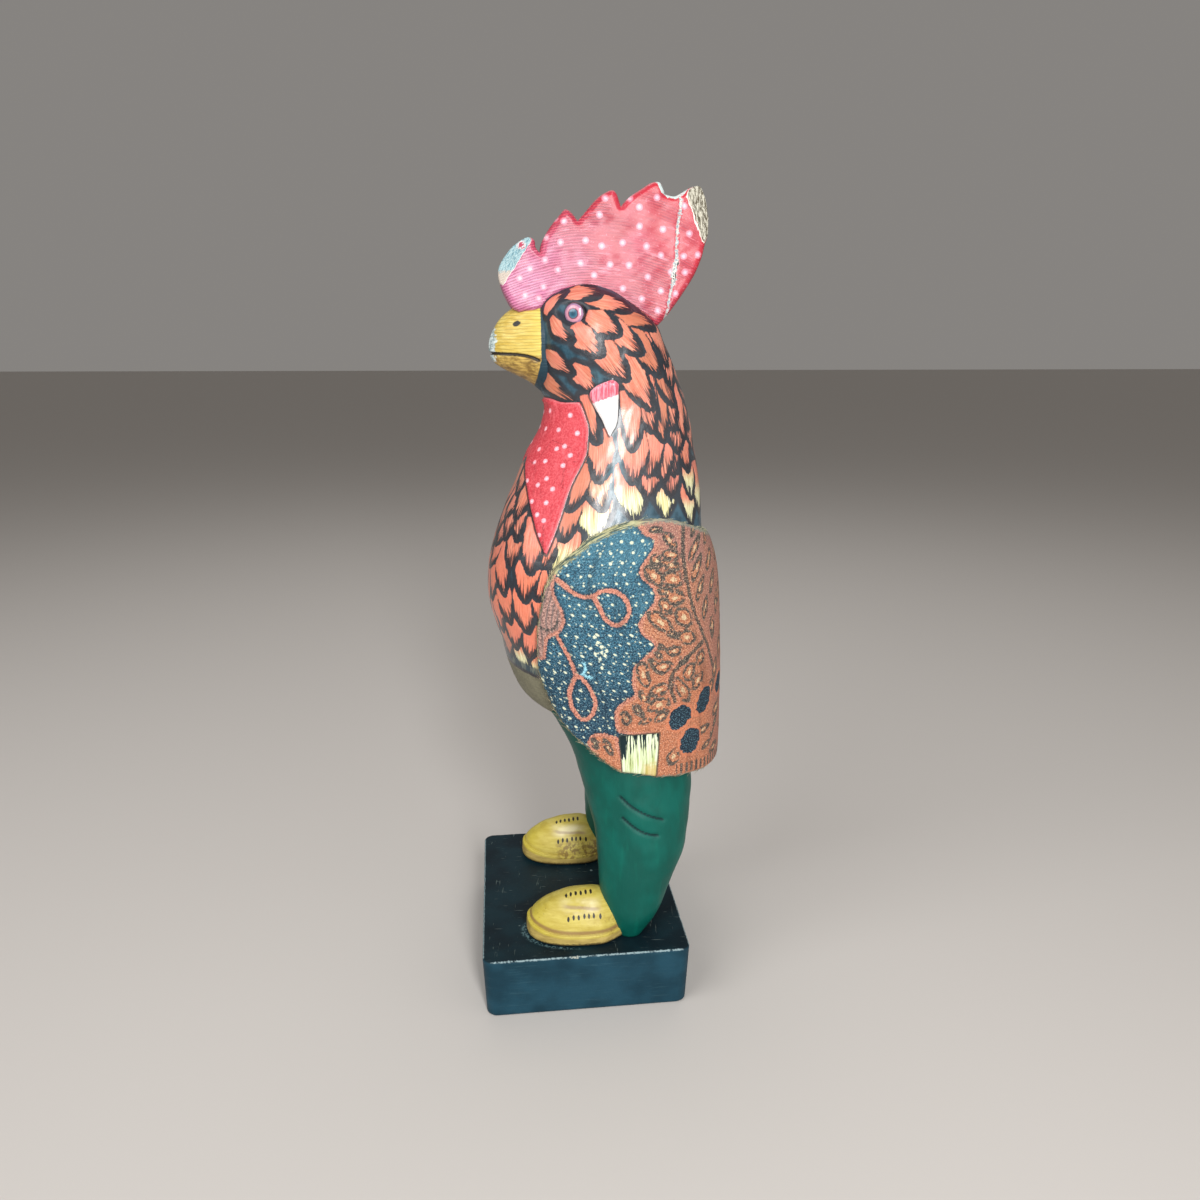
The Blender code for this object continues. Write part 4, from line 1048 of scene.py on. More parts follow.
steps += [(1 + (WELT_SHARE - 1) * t, edge_z + (welt - 0.5 - edge_z) * t, -1 + t)
          for t in np.linspace(0.12, 1, 6)]
for t in np.linspace(0.2, 1, 4):
    turned = t * math.pi / 2
    steps.append((WELT_SHARE - 0.022 * (1 - math.cos(turned)), welt - 0.5 * (1 - math.sin(turned)), -0.05))
ledge = WELT_SHARE - WELT_LEDGE
steps += [(WELT_SHARE - 0.022 - (WELT_LEDGE - 0.022) * t, welt + 0 * toe, -0.05 * (1 - t))
          for t in np.linspace(0.35, 1, 3)]
dome_steps = np.concatenate([[0.9985, 0.994, 0.986], np.linspace(0.975, 0.80, 12),
                             np.linspace(0.78, 0.05, 24)])
steps += [(ledge * t, welt + (RIDGE - welt) * (1 - t**DOME_POWER) ** (1 / DOME_POWER), 1 - t)
          for t in dome_steps]
shoe_skins, shoe_share, shoe_lace = [], [], []
for side in (1, -1):
    rings = np.array([np.stack([side * SHOE_X + SHOE_HALF_WIDTH * plan_x * share,
                                SHOE_Y + SHOE_HALF_LENGTH * plan_y * share, z + 0 * toe], axis=-1)
                      for share, z, _ in steps])
    heel = 1 - 0.42 * soft_step(6, 22, rings[..., 1])
    rings[..., 0] = side * SHOE_X + (rings[..., 0] - side * SHOE_X) * heel
    flat = rings.reshape(-1, 3)
    upper = flat[flat[:, 2] > WELT_SIDE + 2]
    lace = np.full(len(flat), 9.0)
    for x, y in LACES:
        spot = upper[np.argmin(np.hypot(upper[:, 0] - side * SHOE_X - x, upper[:, 1] - y))]
        spread = flat - spot
        oval = np.sqrt((spread[:, 1] / 0.6) ** 2 + (spread[:, 0] ** 2 + spread[:, 2] ** 2) / 1.35**2)
        lace = np.minimum(lace, oval)
    share = np.repeat([mark for _, _, mark in steps], len(angle))
    push = 0.16 * waves(flat, 9, seed=14) * (flat[:, 2] > SOLE + 0.6)
    away = flat - np.array([side * SHOE_X, SHOE_Y, 30])
    away /= np.linalg.norm(away, axis=1)[:, None]
    shoe_skins.append(closed_rings((flat + away * push[:, None]).reshape(rings.shape)))
    shoe_share.append(pad(share))
    shoe_lace.append(pad(lace))
shoes = make("shoes", *joined(shoe_skins), {
    "part": np.concatenate(shoe_share), "lace": np.concatenate(shoe_lace)})
print("shoes:", len(shoes.data.vertices), "points")

# %% [markdown]
# ## The block
#
# A sawn block with rounded corners, a little narrower below. Its arrises have been knocked and
# rubbed until the wood shows.

# %% block mesh
SIDE_BORDER, TOE_BORDER, HEEL_BORDER = 6.1, 19.5, 17.5
BLOCK_WIDTH = 2 * (SHOE_X + SHOE_HALF_WIDTH + SIDE_BORDER)
BLOCK_DEPTH = 2 * SHOE_HALF_LENGTH + TOE_BORDER + HEEL_BORDER
BLOCK_HEIGHT, BLOCK_CORNER, BLOCK_EDGE, BLOCK_TAPER = 28.0, 4.5, 1.1, 1.2


def rounded_ring(half_x, half_y, corner, count):
    """Evenly spaced points round a rectangle with round corners, from the middle of its -Y side."""
    quarter = corner * math.pi / 2
    sides = [half_x - corner, quarter, 2 * (half_y - corner), quarter, 2 * (half_x - corner), quarter,
             2 * (half_y - corner), quarter, half_x - corner]
    stops = np.concatenate([[0], np.cumsum(sides)])
    ring = []
    for s in np.arange(count) * stops[-1] / count:
        i = int(np.searchsorted(stops, s, side="right") - 1)
        t = s - stops[i]
        cx, cy = half_x - corner, half_y - corner
        if i % 2:
            centre, start = [((cx, -cy), -90), ((cx, cy), 0), ((-cx, cy), 90), ((-cx, -cy), 180)][i // 2]
            turned = math.radians(start) + t / corner
            ring.append((centre[0] + corner * math.cos(turned), centre[1] + corner * math.sin(turned)))
        else:
            ring.append([(t, -half_y), (half_x, -cy + t), (cx - t, half_y), (-half_x, cy - t),
                         (-cx + t, -half_y)][i // 2])
    return np.array(ring)


count = 560
full = rounded_ring(BLOCK_WIDTH / 2, BLOCK_DEPTH / 2, BLOCK_CORNER, count)
levels = []
for share in np.linspace(0.04, 0.96, 12):
    levels.append((share, 0.0, 0.0))
for z in np.concatenate([[0.0], np.linspace(0.25, BLOCK_EDGE, 3), np.linspace(2, 26, 26),
                         np.linspace(BLOCK_HEIGHT - BLOCK_EDGE, BLOCK_HEIGHT, 7)]):
    from_end = min(z, BLOCK_HEIGHT - z)
    bend = BLOCK_EDGE - math.sqrt(max(BLOCK_EDGE**2 - max(BLOCK_EDGE - from_end, 0) ** 2, 0))
    levels.append((1.0, z, bend + BLOCK_TAPER * (1 - z / BLOCK_HEIGHT)))
for share in np.concatenate([[0.985, 0.965], np.linspace(0.94, 0.03, 40)]):
    levels.append((share, BLOCK_HEIGHT, BLOCK_EDGE))
rings = []
for share, z, bend in levels:
    ring = (full - np.sign(full) * np.minimum(bend, np.abs(full))) * share
    rings.append(np.column_stack([ring, np.full(count, z)]))
rings = np.array(rings)
flat = rings.reshape(-1, 3)
from_top = BLOCK_HEIGHT - flat[:, 2]
from_side = BLOCK_DEPTH / 2 - np.abs(flat[:, 1])
from_side = np.minimum(from_side, BLOCK_WIDTH / 2 - np.abs(flat[:, 0]))
arris = np.sqrt(np.maximum(from_top, 0) ** 2 + np.maximum(from_side, 0) ** 2)
knock = np.maximum(waves(flat, 26, 3, seed=31) - 0.5, 0) * 1.0 * (1 - soft_step(0.5, 3.0, arris))
flat = flat - np.sign(flat) * np.array([1, 1, 1]) * knock[:, None] * np.array([0.7, 0.7, 0.7])
rough = 0.08 * waves(flat, 7, seed=32) * (flat[:, 2] > 0.5)
flat[:, 0] += np.where((from_side < 2) & (np.abs(flat[:, 0]) > BLOCK_WIDTH / 2 - 4), rough, 0)
points, faces = closed_rings(flat.reshape(rings.shape))
block = make("block", points, faces, {"arris": pad(arris), "knock": pad(knock)}, smooth_angle=60)
print("block:", len(points), "points")

# %% [markdown]
# ## Paint
#
# A material is a sum of small decisions: where a shape's paint ends, how dry the brush was, what
# shows through. `Value` lets these be written as plain arithmetic, and `Paint` holds the nodes of
# one material. All colours are given as they look on a screen, from 0 to 255.

# %% material tools


def tint(red, green, blue):
    """A colour as seen on a screen, turned into light."""
    return tuple(((c / 255 + 0.055) / 1.055) ** 2.4 if c > 10 else c / 255 / 12.92
                 for c in (red, green, blue)) + (1.0,)


class Value:
    """A number inside a material, with the signs of arithmetic."""

    def __init__(self, paint, socket):
        self.paint, self.socket = paint, socket

    def __add__(self, other):
        return self.paint.maths("ADD", self, other)

    def __sub__(self, other):
        return self.paint.maths("SUBTRACT", self, other)

    def __rsub__(self, other):
        return self.paint.maths("SUBTRACT", other, self)

    def __mul__(self, other):
        return self.paint.maths("MULTIPLY", self, other)

    def __truediv__(self, other):
        return self.paint.maths("DIVIDE", self, other)

    def __rtruediv__(self, other):
        return self.paint.maths("DIVIDE", other, self)

    def __neg__(self):
        return self.paint.maths("MULTIPLY", self, -1.0)

    def __abs__(self):
        return self.paint.maths("ABSOLUTE", self)

    __radd__, __rmul__ = __add__, __mul__

    def most(self, other):
        return self.paint.maths("MAXIMUM", self, other)

    def least(self, other):
        return self.paint.maths("MINIMUM", self, other)

    def step(self, low, high):
        """0 at low, 1 at high and smooth between them. Low may be the larger."""
        t = self.paint.maths("MULTIPLY_ADD", self, 1 / (high - low), -low / (high - low), clamp=True)
        return t * t * (3.0 - 2.0 * t)


# %% a painted material
class Paint:
    """One painted material and its nodes."""

    def __init__(self, name):
        self.material = bpy.data.materials.new(name)
        self.material.use_nodes = True
        self.tree = self.material.node_tree
        self.shader = self.tree.nodes["Principled BSDF"]

    def node(self, kind, settings=None, sockets=None):
        """A node of this type, with its settings, and its sockets set or linked."""
        made = self.tree.nodes.new(kind)
        for setting, value in (settings or {}).items():
            setattr(made, setting, value)
        for key, value in (sockets or {}).items():
            self.plug(value, made.inputs[key])
        return made

    def plug(self, value, socket):
        if isinstance(value, Value):
            self.tree.links.new(value.socket, socket)
        elif isinstance(value, bpy.types.NodeSocket):
            self.tree.links.new(value, socket)
        else:
            socket.default_value = value

    def maths(self, operation, *values, clamp=False):
        made = self.node("ShaderNodeMath", {"operation": operation, "use_clamp": clamp},
                         dict(enumerate(values)))
        return Value(self, made.outputs[0])

    def field(self, name):
        made = self.node("ShaderNodeAttribute", {"attribute_name": name})
        return Value(self, made.outputs["Fac"])

    def split(self, socket):
        made = self.node("ShaderNodeSeparateXYZ", sockets={0: socket})
        return [Value(self, out) for out in made.outputs]

    def triple(self, name):
        return self.split(self.node("ShaderNodeAttribute", {"attribute_name": name}).outputs["Vector"])

    def place(self):
        """The point's x, y and z in millimetres."""
        return [axis * 1000.0 for axis in self.split(self.node("ShaderNodeTexCoord").outputs["Object"])]

    def vector(self, x, y, z):
        return self.node("ShaderNodeCombineXYZ", sockets={0: x, 1: y, 2: z}).outputs[0]

    def noise(self, x, y, z, detail=2.0, roughness=0.5):
        """Smooth noise from 0 to 1, with its grains as wide as 1 in each direction."""
        made = self.node("ShaderNodeTexNoise", sockets={
            "Vector": self.vector(x, y, z), "Scale": 1.0, "Detail": detail, "Roughness": roughness})
        return Value(self, made.outputs[0])

    def cells(self, x, y, z, randomness=1.0, dimensions="3D"):
        """Distance to the nearest of scattered points, and a colour of its own for each."""
        made = self.node("ShaderNodeTexVoronoi", {"voronoi_dimensions": dimensions}, {
            "Vector": self.vector(x, y, z), "Scale": 1.0, "Randomness": randomness})
        return Value(self, made.outputs["Distance"]), self.split(made.outputs["Color"])

    def mix(self, share, under, over):
        """The colour over laid on the colour under, by its share."""
        return self.node("ShaderNodeMix", {"data_type": "RGBA"}, {0: share, 6: under, 7: over}).outputs[2]

    def finish(self, piece, colour, roughness, height=None, depth=0.3, coat=0.0, coat_roughness=0.2,
               specular=0.5):
        """Plugs the results in and paints the piece. Depth is the bump's height in millimetres."""
        self.plug(colour, self.shader.inputs["Base Color"])
        self.plug(roughness, self.shader.inputs["Roughness"])
        self.plug(coat, self.shader.inputs["Coat Weight"])
        self.shader.inputs["Coat Roughness"].default_value = coat_roughness
        self.shader.inputs["Specular IOR Level"].default_value = specular
        if height is not None:
            bump = self.node("ShaderNodeBump", sockets={"Strength": 1.0, "Distance": depth * MM,
                                                        "Height": height})
            self.plug(bump.outputs[0], self.shader.inputs["Normal"])
        piece.data.materials.append(self.material)


INK, SLATE, TEAL, GESSO = tint(34, 32, 38), tint(48, 82, 98), tint(16, 52, 66), tint(196, 210, 208)

# %% [markdown]
# ### Feathers, wattles and earlobes
#
# The bristle noise is stretched along each stroke. It moves the edge of the paint a little at the
# sides and more than a millimetre at the tip, which leaves the comb-like ends of a dry brush.

# %% feather paint
paint = Paint("painted_feathers")
x, y, z = paint.place()
painted = paint.field("painted")
along, across, tone = paint.triple("own")
share, cream, brown = paint.triple("touch")
bristle = paint.noise(across * 1.35, along * 0.11, tone * 30.0, 1.5, 0.6)
wobble = paint.noise(x * 0.45, y * 0.45, z * 0.45, 2.0)
tip = share.step(0.45, 0.9)
edge = painted + (bristle - 0.5) * (0.9 + tip * (5.6 + cream * 2.0)) + (wobble - 0.5) * 0.9
fill = edge.step(-0.1, 0.2)
streak = paint.noise(across * 2.4, along * 0.09, tone * 17.0, 3.0, 0.6)
patch = paint.noise(x * 0.1, y * 0.1, z * 0.1, 2.0)
salmon = paint.mix(streak.step(0.35, 0.7), tint(206, 112, 86), tint(228, 156, 130))
salmon = paint.mix(patch.step(0.4, 0.7) * 0.6, salmon, tint(226, 132, 116))
salmon = paint.mix((z - 196.0).step(14.0, -10.0) * 0.5, salmon, tint(230, 118, 84))
salmon = paint.mix(brown * 0.7, salmon, tint(188, 112, 82))
salmon = paint.mix(share.step(0.3, 0.0) * 0.35, salmon, tint(190, 88, 72))
pale = paint.mix(streak.step(0.35, 0.65), tint(206, 196, 130), tint(240, 238, 200))
salmon = paint.mix(cream * (share + (streak - 0.5) * 0.5).step(0.34, 0.7), salmon, pale)
ink_line = painted.step(-2.8, -1.6)
ground = paint.mix(paint.noise(x * 0.3, y * 0.3, z * 0.3, 3.0).step(0.4, 0.7), SLATE, TEAL)
# Painted sheen: the ground on the face behind the beak is painted paler slate.
ground = paint.mix((y + 9.0).step(3.0, -5.0) * (z - 262.0).step(0.0, 6.0) * 0.6, ground, SLATE)
# Painted highlight: where the varnish catches the lamp, down the neck and beside the earlobe, the ground is
# painted paler teal and the ink lines thinner.
painted_highlight = (6.0 - abs(y - 14.0)).step(0.0, 4.0) * (z - 213.0).step(0.0, 8.0) * (250.0 - z).step(0.0, 6.0)
painted_highlight = painted_highlight.most((5.0 - abs(y - 5.0)).step(0.0, 4.0) * (5.0 - abs(z - 267.5)).step(0.0, 4.0))
ground = paint.mix(painted_highlight * patch.step(0.2, 0.6) * 0.6, ground, tint(92, 156, 174))
ground = paint.mix(ink_line * (0.85 - painted_highlight * 0.3), ground, INK)
colour = paint.mix(fill, ground, salmon)
hair_depth = painted + (paint.noise(across * 1.9, along * 0.08, tone * 23.0, 1.0, 0.5) - 0.5) * 13.0
hair = hair_depth.step(0.8, 0.2) * tip * (1.0 - cream * 0.5)
colour = paint.mix(hair * 0.9, colour, INK)
print("feather paint:", len(paint.tree.nodes), "nodes")

# %% wattle, earlobe and belly paint
wattle = paint.field("wattle")
dot = paint.field("dot")
speck = paint.noise(x * 1.4, y * 1.4, z * 1.4, 3.0)
rough_edge = (paint.noise(x * 0.9, y * 0.9, z * 0.9, 2.0) - 0.5) * 0.7
rub = paint.noise(x * 0.5, y * 0.5, z * 0.12, 3.0)
red = paint.mix(speck.step(0.35, 0.7), tint(190, 50, 62), tint(212, 84, 92))
red = paint.mix(rub.step(0.5, 0.75) * 0.5, red, tint(232, 108, 116))
red = paint.mix((dot + (speck - 0.5) * 0.5).step(1.25, 0.85), red, tint(238, 166, 178))
red = paint.mix((dot + (speck - 0.5) * 0.5).step(0.75, 0.35) * 0.8, red, tint(248, 214, 222))
colour = paint.mix((wattle + rough_edge * 0.4).step(-1.3, -0.8) * 0.9, colour, INK)
colour = paint.mix((wattle + rough_edge * 0.4).step(-0.35, -0.1), colour, red)
# Painted highlight: a faint pale pink line along the wattle's raised edge.
colour = paint.mix(abs(wattle - 0.1).step(0.35, 0.15) * 0.25, colour, tint(240, 150, 156))

earlobe = paint.field("earlobe")
brushed = paint.noise(x * 0.9, y * 1.3, z * 0.12, 3.0)
lobe = paint.mix(brushed.step(0.4, 0.6), tint(214, 84, 104), tint(240, 148, 164))
lobe = paint.mix((z - 255.4 - y * 0.33 + rough_edge * 2.0).step(0.35, -0.35), lobe, tint(246, 246, 244))
colour = paint.mix((earlobe + rough_edge * 0.5).step(-1.1, -0.6) * 0.8, colour, INK)
colour = paint.mix((earlobe + rough_edge * 0.4).step(-0.3, -0.05), colour, lobe)

belly_drop = z - belly_line(y) + rough_edge * 2.0
khaki = paint.mix(paint.noise(x * 0.5, y * 0.5, z * 1.2, 4.0, 0.65), tint(78, 76, 60), tint(140, 136, 112))
colour = paint.mix(belly_drop.step(5.5, 3.8) * 0.85, colour, TEAL)
colour = paint.mix(belly_drop.step(2.0, 0.8), colour, INK)
colour = paint.mix(belly_drop.step(0.4, -0.2), colour, khaki)
height = fill * 0.3 + bristle * fill * 0.5 + paint.noise(x * 0.3, y * 0.3, z * 0.4, 4.0, 0.6) * 2.4
dull = wattle.step(-0.5, 0.5).most(belly_drop.step(0.4, -0.2))
varnish = 0.75 - dull * 0.65 - (z - 264.0).step(0.0, 8.0) * 0.5
paint.finish(body, colour, 0.36 + wobble * 0.14 + dull * 0.25, height, 0.17, varnish, 0.2, 0.4)
print("with wattles and earlobes:", len(paint.tree.nodes), "nodes")

# %% eye paint
paint = Paint("painted_eyes")
x, y, z = paint.place()
ring = paint.field("ring") + (paint.noise(x * 1.2, y * 1.2, z * 1.2, 2.0) - 0.5) * 0.5
colour = paint.mix(ring.step(0.3, 1.7), tint(36, 74, 94), tint(66, 112, 134))
colour = paint.mix(ring.step(1.55, 1.8), colour, tint(112, 60, 74))
colour = paint.mix(ring.step(1.9, 2.25), colour, tint(204, 142, 160))
colour = paint.mix(ring.step(2.9, 3.2), colour, tint(160, 120, 150))
# Painted shade: the dark ring at the ball's edge, where it sits in its hollow.
colour = paint.mix(ring.step(3.6, 3.9), colour, INK)
paint.finish(eyes, colour, 0.25, coat=0.8, coat_roughness=0.1)

# %% [markdown]
# ### Comb
#
# Thin pink-red paint with the wood's grain showing as fine lines along the blade. The glued crack
# is filled white, the broken faces show wood and gesso, and the paint has left the top edge.
# The grain lines are contours: a sine of the height, bent by noise and by the arch of the head.

# %% comb paint
paint = Paint("painted_comb")
x, y, z = paint.place()
bow = z + (y - 8.0) * (y - 8.0) * 0.006
speck = paint.noise(x * 1.2, y * 1.2, z * 1.2, 3.0)
patch = paint.noise(x * 0.07, y * 0.07, z * 0.07, 2.0)
bend = paint.noise(x * 0.05, y * 0.055, bow * 0.16, 3.0) * 16.0
line = paint.maths("SINE", bow * 6.0 + bend).step(-0.1, 0.8)
strength = (paint.noise(x * 0.1, y * 0.05, bow * 0.1, 2.0) - y * 0.004 + (320.0 - z) * 0.003).step(0.26, 0.56)
colour = paint.mix(patch.step(0.35, 0.7), tint(168, 40, 58), tint(182, 64, 88))
# Paler mauve-pink towards the front and the bottom: partly the paint's own tone and partly a painted sheen.
front = (y * 0.02 + (z - 300.0) * 0.014 + (patch - 0.5) * 1.2).step(0.5, -0.4)
colour = paint.mix(front * 0.8, colour, tint(202, 126, 166))
colour = paint.mix((y - 22.0).step(0.0, 14.0) * 0.7, colour, tint(180, 44, 56))
# Painted shade: a deeper red along the rounded top edges of the comb.
rim_shade = paint.field("rim").step(4.2, 0.4) * (z - 304.0).step(0.0, 8.0)
colour = paint.mix(rim_shade * 0.55, colour, tint(200, 38, 54))
colour = paint.mix(line * strength * 0.5, colour, tint(120, 36, 66))
drag = paint.noise(x * 0.7, y * 0.12, bow * 0.8, 3.0, 0.6)
colour = paint.mix(drag.step(0.55, 0.68) * 0.4, colour, tint(140, 36, 64))
colour = paint.mix(drag.step(0.42, 0.32) * 0.3, colour, tint(240, 156, 176))
colour = paint.mix(speck.step(0.62, 0.72) * 0.25, colour, tint(250, 176, 196))
dot = paint.field("dot") + (speck - 0.5) * 0.6
colour = paint.mix(dot.step(1.6, 1.15) * 0.7, colour, tint(230, 146, 166))
colour = paint.mix(dot.step(1.0, 0.4) * 0.65, colour, tint(240, 202, 216))
print("comb ground and dots:", len(paint.tree.nodes), "nodes")

# %% chips, crack and bare wood
chipped = paint.field("chipped") + (speck - 0.5) * 1.8
colour = paint.mix(chipped.step(1.0, 0.7), colour, GESSO)
crack = paint.field("crack") + (speck - 0.5) * 1.8 - (7.0 - abs(z - 308.0)).step(0.0, 5.0) * 0.5 \
    + (paint.noise(x * 0.3, y * 0.3, z * 0.5, 2.0) - 0.5) * 1.2
filler = crack.step(0.62, 0.38)
colour = paint.mix(crack.step(1.3, 0.7) * 0.35, colour, tint(226, 150, 156))
putty = paint.mix(speck.step(0.35, 0.6), tint(166, 178, 188), tint(230, 230, 220))
colour = paint.mix(filler, colour, putty)
cavity = paint.noise(x * 0.8, y * 0.8, z * 0.2, 2.0) + (2.6 - abs(z - 304.6)).step(0.0, 2.0) * 0.12
cavity = cavity.step(0.6, 0.66)
colour = paint.mix(filler * cavity, colour, tint(70, 66, 64))
broken = paint.field("broken") + (speck - 0.5) * 0.16
bare = broken.step(0.16, 0.04)
fibre = paint.noise(x * 1.4, y * 1.4, z * 0.16, 4.0, 0.65)
wood = paint.mix(fibre.step(0.4, 0.6), tint(96, 88, 72), tint(216, 212, 194))
cold = paint.mix(fibre.step(0.38, 0.56), tint(112, 158, 172), tint(180, 210, 214))
blot = paint.maths("SQRT", (y + 20.4) * (y + 20.4) + (z - 317.2) * (z - 317.2))
blot = blot + (paint.noise(x * 0.8, y * 0.8, z * 0.8, 2.0) - 0.5) * 4.0
cold = paint.mix(blot.step(1.9, 1.5), cold, tint(228, 224, 226))
cold = paint.mix(blot.step(1.1, 0.7), cold, tint(196, 80, 104))
cold = paint.mix((z - 307.5 + (speck - 0.5) * 5.0).step(0.6, -0.6), cold, tint(214, 200, 186))
wood = paint.mix(y.step(0.0, -10.0), wood, cold)
colour = paint.mix(bare, colour, wood)
colour = paint.mix(abs(broken - 0.3).step(0.2, 0.1) * 0.85, colour, tint(236, 234, 224))
height = line * strength * -0.5 + speck * 0.25 + fibre * bare * 1.5 - filler * cavity
dryness = 0.38 + speck * 0.1 + bare * 0.35 + filler * 0.3
paint.finish(comb, colour, dryness, height, 0.22, 0.3 - bare * 0.3, 0.25, 0.35)
print("comb with its chips:", len(paint.tree.nodes), "nodes")

# %% beak paint
paint = Paint("painted_beak")
x, y, z = paint.place()
mouth = paint.field("mouth")
brush = paint.noise(x * 0.4, y * 0.12, z * 0.8, 3.0, 0.6)
speck = paint.noise(x * 1.1, y * 1.1, z * 1.1, 3.0)
line = paint.maths("SINE", z * 5.0 + paint.noise(x * 0.06, y * 0.06, z * 0.2, 2.0) * 14.0).step(0.5, 0.98)
colour = paint.mix(brush.step(0.3, 0.7), tint(192, 162, 68), tint(214, 192, 104))
colour = paint.mix((y + 20.0).step(0.0, 8.0) * 0.5, colour, tint(222, 204, 96))
lower = (z - 275.2 + (speck - 0.5) * 1.2).step(0.6, -0.6)
stained = paint.noise(x * 0.4, y * 0.25, z * 0.6, 4.0, 0.6).step(0.34, 0.66)
jaw = paint.mix(stained, tint(122, 94, 40), tint(196, 164, 84))
colour = paint.mix(lower, colour, jaw)
colour = paint.mix(line * (0.12 + brush * 0.4), colour, tint(96, 80, 44))
worn = (-31.2 - y + (speck - 0.5) * 2.4 + (brush - 0.5) * 4.0 - abs(z - 281.0) * 0.12).step(-0.3, 0.5)
bare = paint.mix(brush.step(0.4, 0.6), tint(132, 150, 150), tint(206, 218, 216))
colour = paint.mix(worn, colour, bare)
colour = paint.mix((mouth + (speck - 0.5) * 0.5).step(0.85, 0.4), colour, tint(44, 36, 26))
colour = paint.mix((paint.field("nostril") + (speck - 0.5) * 0.4).step(1.1, 0.75), colour, tint(22, 18, 14))
root = y + 13.6 + (273.5 - z).most(0.0) * 0.25 + (speck - 0.5) * 0.6
colour = paint.mix(root.step(-0.25, 0.1), colour, TEAL)
paint.finish(beak, colour, 0.42 + worn * 0.3 + speck * 0.1, brush + speck * 0.3 - line * 0.3, 0.16,
             0.25 - worn * 0.2, 0.3, 0.35)

# %% [markdown]
# ### Batik
#
# The cloth is a plain weave, and the dye has settled unevenly in it. Wax dots stand in loose rows
# on the blue, with fine specks where the wax leaked. Rust areas have a paler outline, ringed ovals
# with pale hearts, and dark dotted cells. Every edge is broken by the same coarse grit, because
# wax and dye creep along the threads.

# %% batik paint
paint = Paint("batik")
u, v, _ = paint.triple("cloth")
edge = paint.field("edge")
grit = paint.noise(u * 1.1, v * 1.1, 1.0, 3.0, 0.75)
fine = paint.noise(u * 1.7, v * 1.7, 3.0, 1.0, 0.6)
cloud = paint.noise(u * 0.07, v * 0.07, 2.0, 2.0)
shaded_crease = paint.noise(u * 0.2, v * 0.025, 5.0, 2.0).step(0.57, 0.7)
sway = paint.noise(u * 0.32, v * 0.32, 6.0, 1.0) - 0.5
jitter = (grit - 0.5) * 5.0 + sway * 1.6
blue = paint.mix(grit.step(0.4, 0.58), tint(18, 46, 64), tint(58, 108, 130))
# The blue is darker towards the bottom and paler towards the top.
blue = paint.mix((168.0 - v + (cloud - 0.5) * 50.0).step(0.0, 30.0) * 0.6, blue, tint(20, 42, 62))
blue = paint.mix((v - 178.0 + (cloud - 0.5) * 60.0).step(0.0, 26.0) * 0.4, blue, tint(84, 138, 156))
blue = paint.mix(fine.step(0.57, 0.66) * 0.55, blue, tint(138, 176, 186))
blue = paint.mix(fine.step(0.42, 0.34) * 0.5, blue, tint(12, 28, 46))
spot, chance = paint.cells(u * 0.225 + v * 0.125, v * 0.25, 0.0, 0.3, "2D")
dot = (spot * 4.1 + jitter * 0.12 + chance[0] * 0.3).step(0.85, 0.45)
small, small_chance = paint.cells(u * 0.5 + 9.0, v * 0.5, 4.0, 0.9, "2D")
small_dot = (small * 2.0 + jitter * 0.1).step(0.42, 0.24) * small_chance[1].step(0.72, 0.8)
star = (paint.field("star") + jitter * 0.3).step(0.95, 0.6)
wax = dot.most(small_dot * 0.7).most(star)
blue = paint.mix(wax * 0.9, blue, tint(224, 228, 198))
blue = paint.mix((paint.field("scuff") + jitter * 0.7).step(0.7, 0.35), blue, tint(150, 208, 222))
print("blue ground and wax:", len(paint.tree.nodes), "nodes")

# %% rust, vine and pod
leaf = paint.field("leaf") + jitter * 0.5
vine = paint.field("vine") + jitter * 0.4
pod = paint.field("pod") + jitter * 0.5
rust = paint.mix(grit.step(0.38, 0.62), tint(130, 80, 62), tint(200, 140, 108))
rust = paint.mix((170.0 - v + (cloud - 0.5) * 60.0).step(-10.0, 30.0) * 0.35, rust, tint(200, 114, 72))
rust = paint.mix((v - 186.0 + (cloud - 0.5) * 40.0).step(0.0, 18.0) * 0.6, rust, tint(158, 116, 112))
rust = paint.mix((abs(u) - 110.0).step(0.0, 14.0) * 0.55, rust, tint(146, 104, 98))
pink = paint.mix(grit.step(0.36, 0.62), tint(152, 88, 72), tint(212, 148, 126))
rust = paint.mix((leaf - 1.2).step(0.7, 0.1) * 0.8, rust, pink)
ring_ink = paint.mix(grit.step(0.42, 0.58), tint(34, 42, 46), tint(84, 88, 80))
oval, depth = paint.field("oval") + jitter * 0.42 + sway * 1.6, paint.field("oval_depth")
gaps = paint.noise(u * 0.4, v * 0.4, 11.0, 1.0).step(0.32, 0.42)
rust = paint.mix(oval.step(-0.8, -0.1) * gaps * 0.94, rust, ring_ink)
heart = paint.mix(grit.step(0.4, 0.6), tint(168, 94, 66), tint(214, 146, 104))
rust = paint.mix(oval.step(0.8, 1.2) * 0.8, rust, heart)
rust = paint.mix((depth + jitter * 0.12).step(0.6, 0.8) * 0.8, rust, tint(216, 198, 158))
rib = paint.field("rib") + jitter * 0.45
rust = paint.mix(rib.step(1.15, 0.7) * 0.9, rust, ring_ink)
rust = paint.mix(abs(rib - 1.9).step(0.55, 0.3) * 0.45, rust, pink)
cell = paint.field("cell") + jitter * 0.5 + sway * 2.0
dark_blue = paint.mix(fine.step(0.54, 0.64), tint(20, 38, 52), tint(84, 118, 132))
tooth = paint.maths("SINE", u * 2.25 + sway * 2.0).step(-0.2, 0.3)
tooth = tooth * (edge - 1.1 + jitter * 0.3).step(0.0, 0.4) * (6.0 - edge + jitter * 0.5).step(0.0, 0.4)
tooth = tooth * (abs(u) - 95.5).step(0.0, 0.6) * (120.0 - v).step(0.0, 2.0)
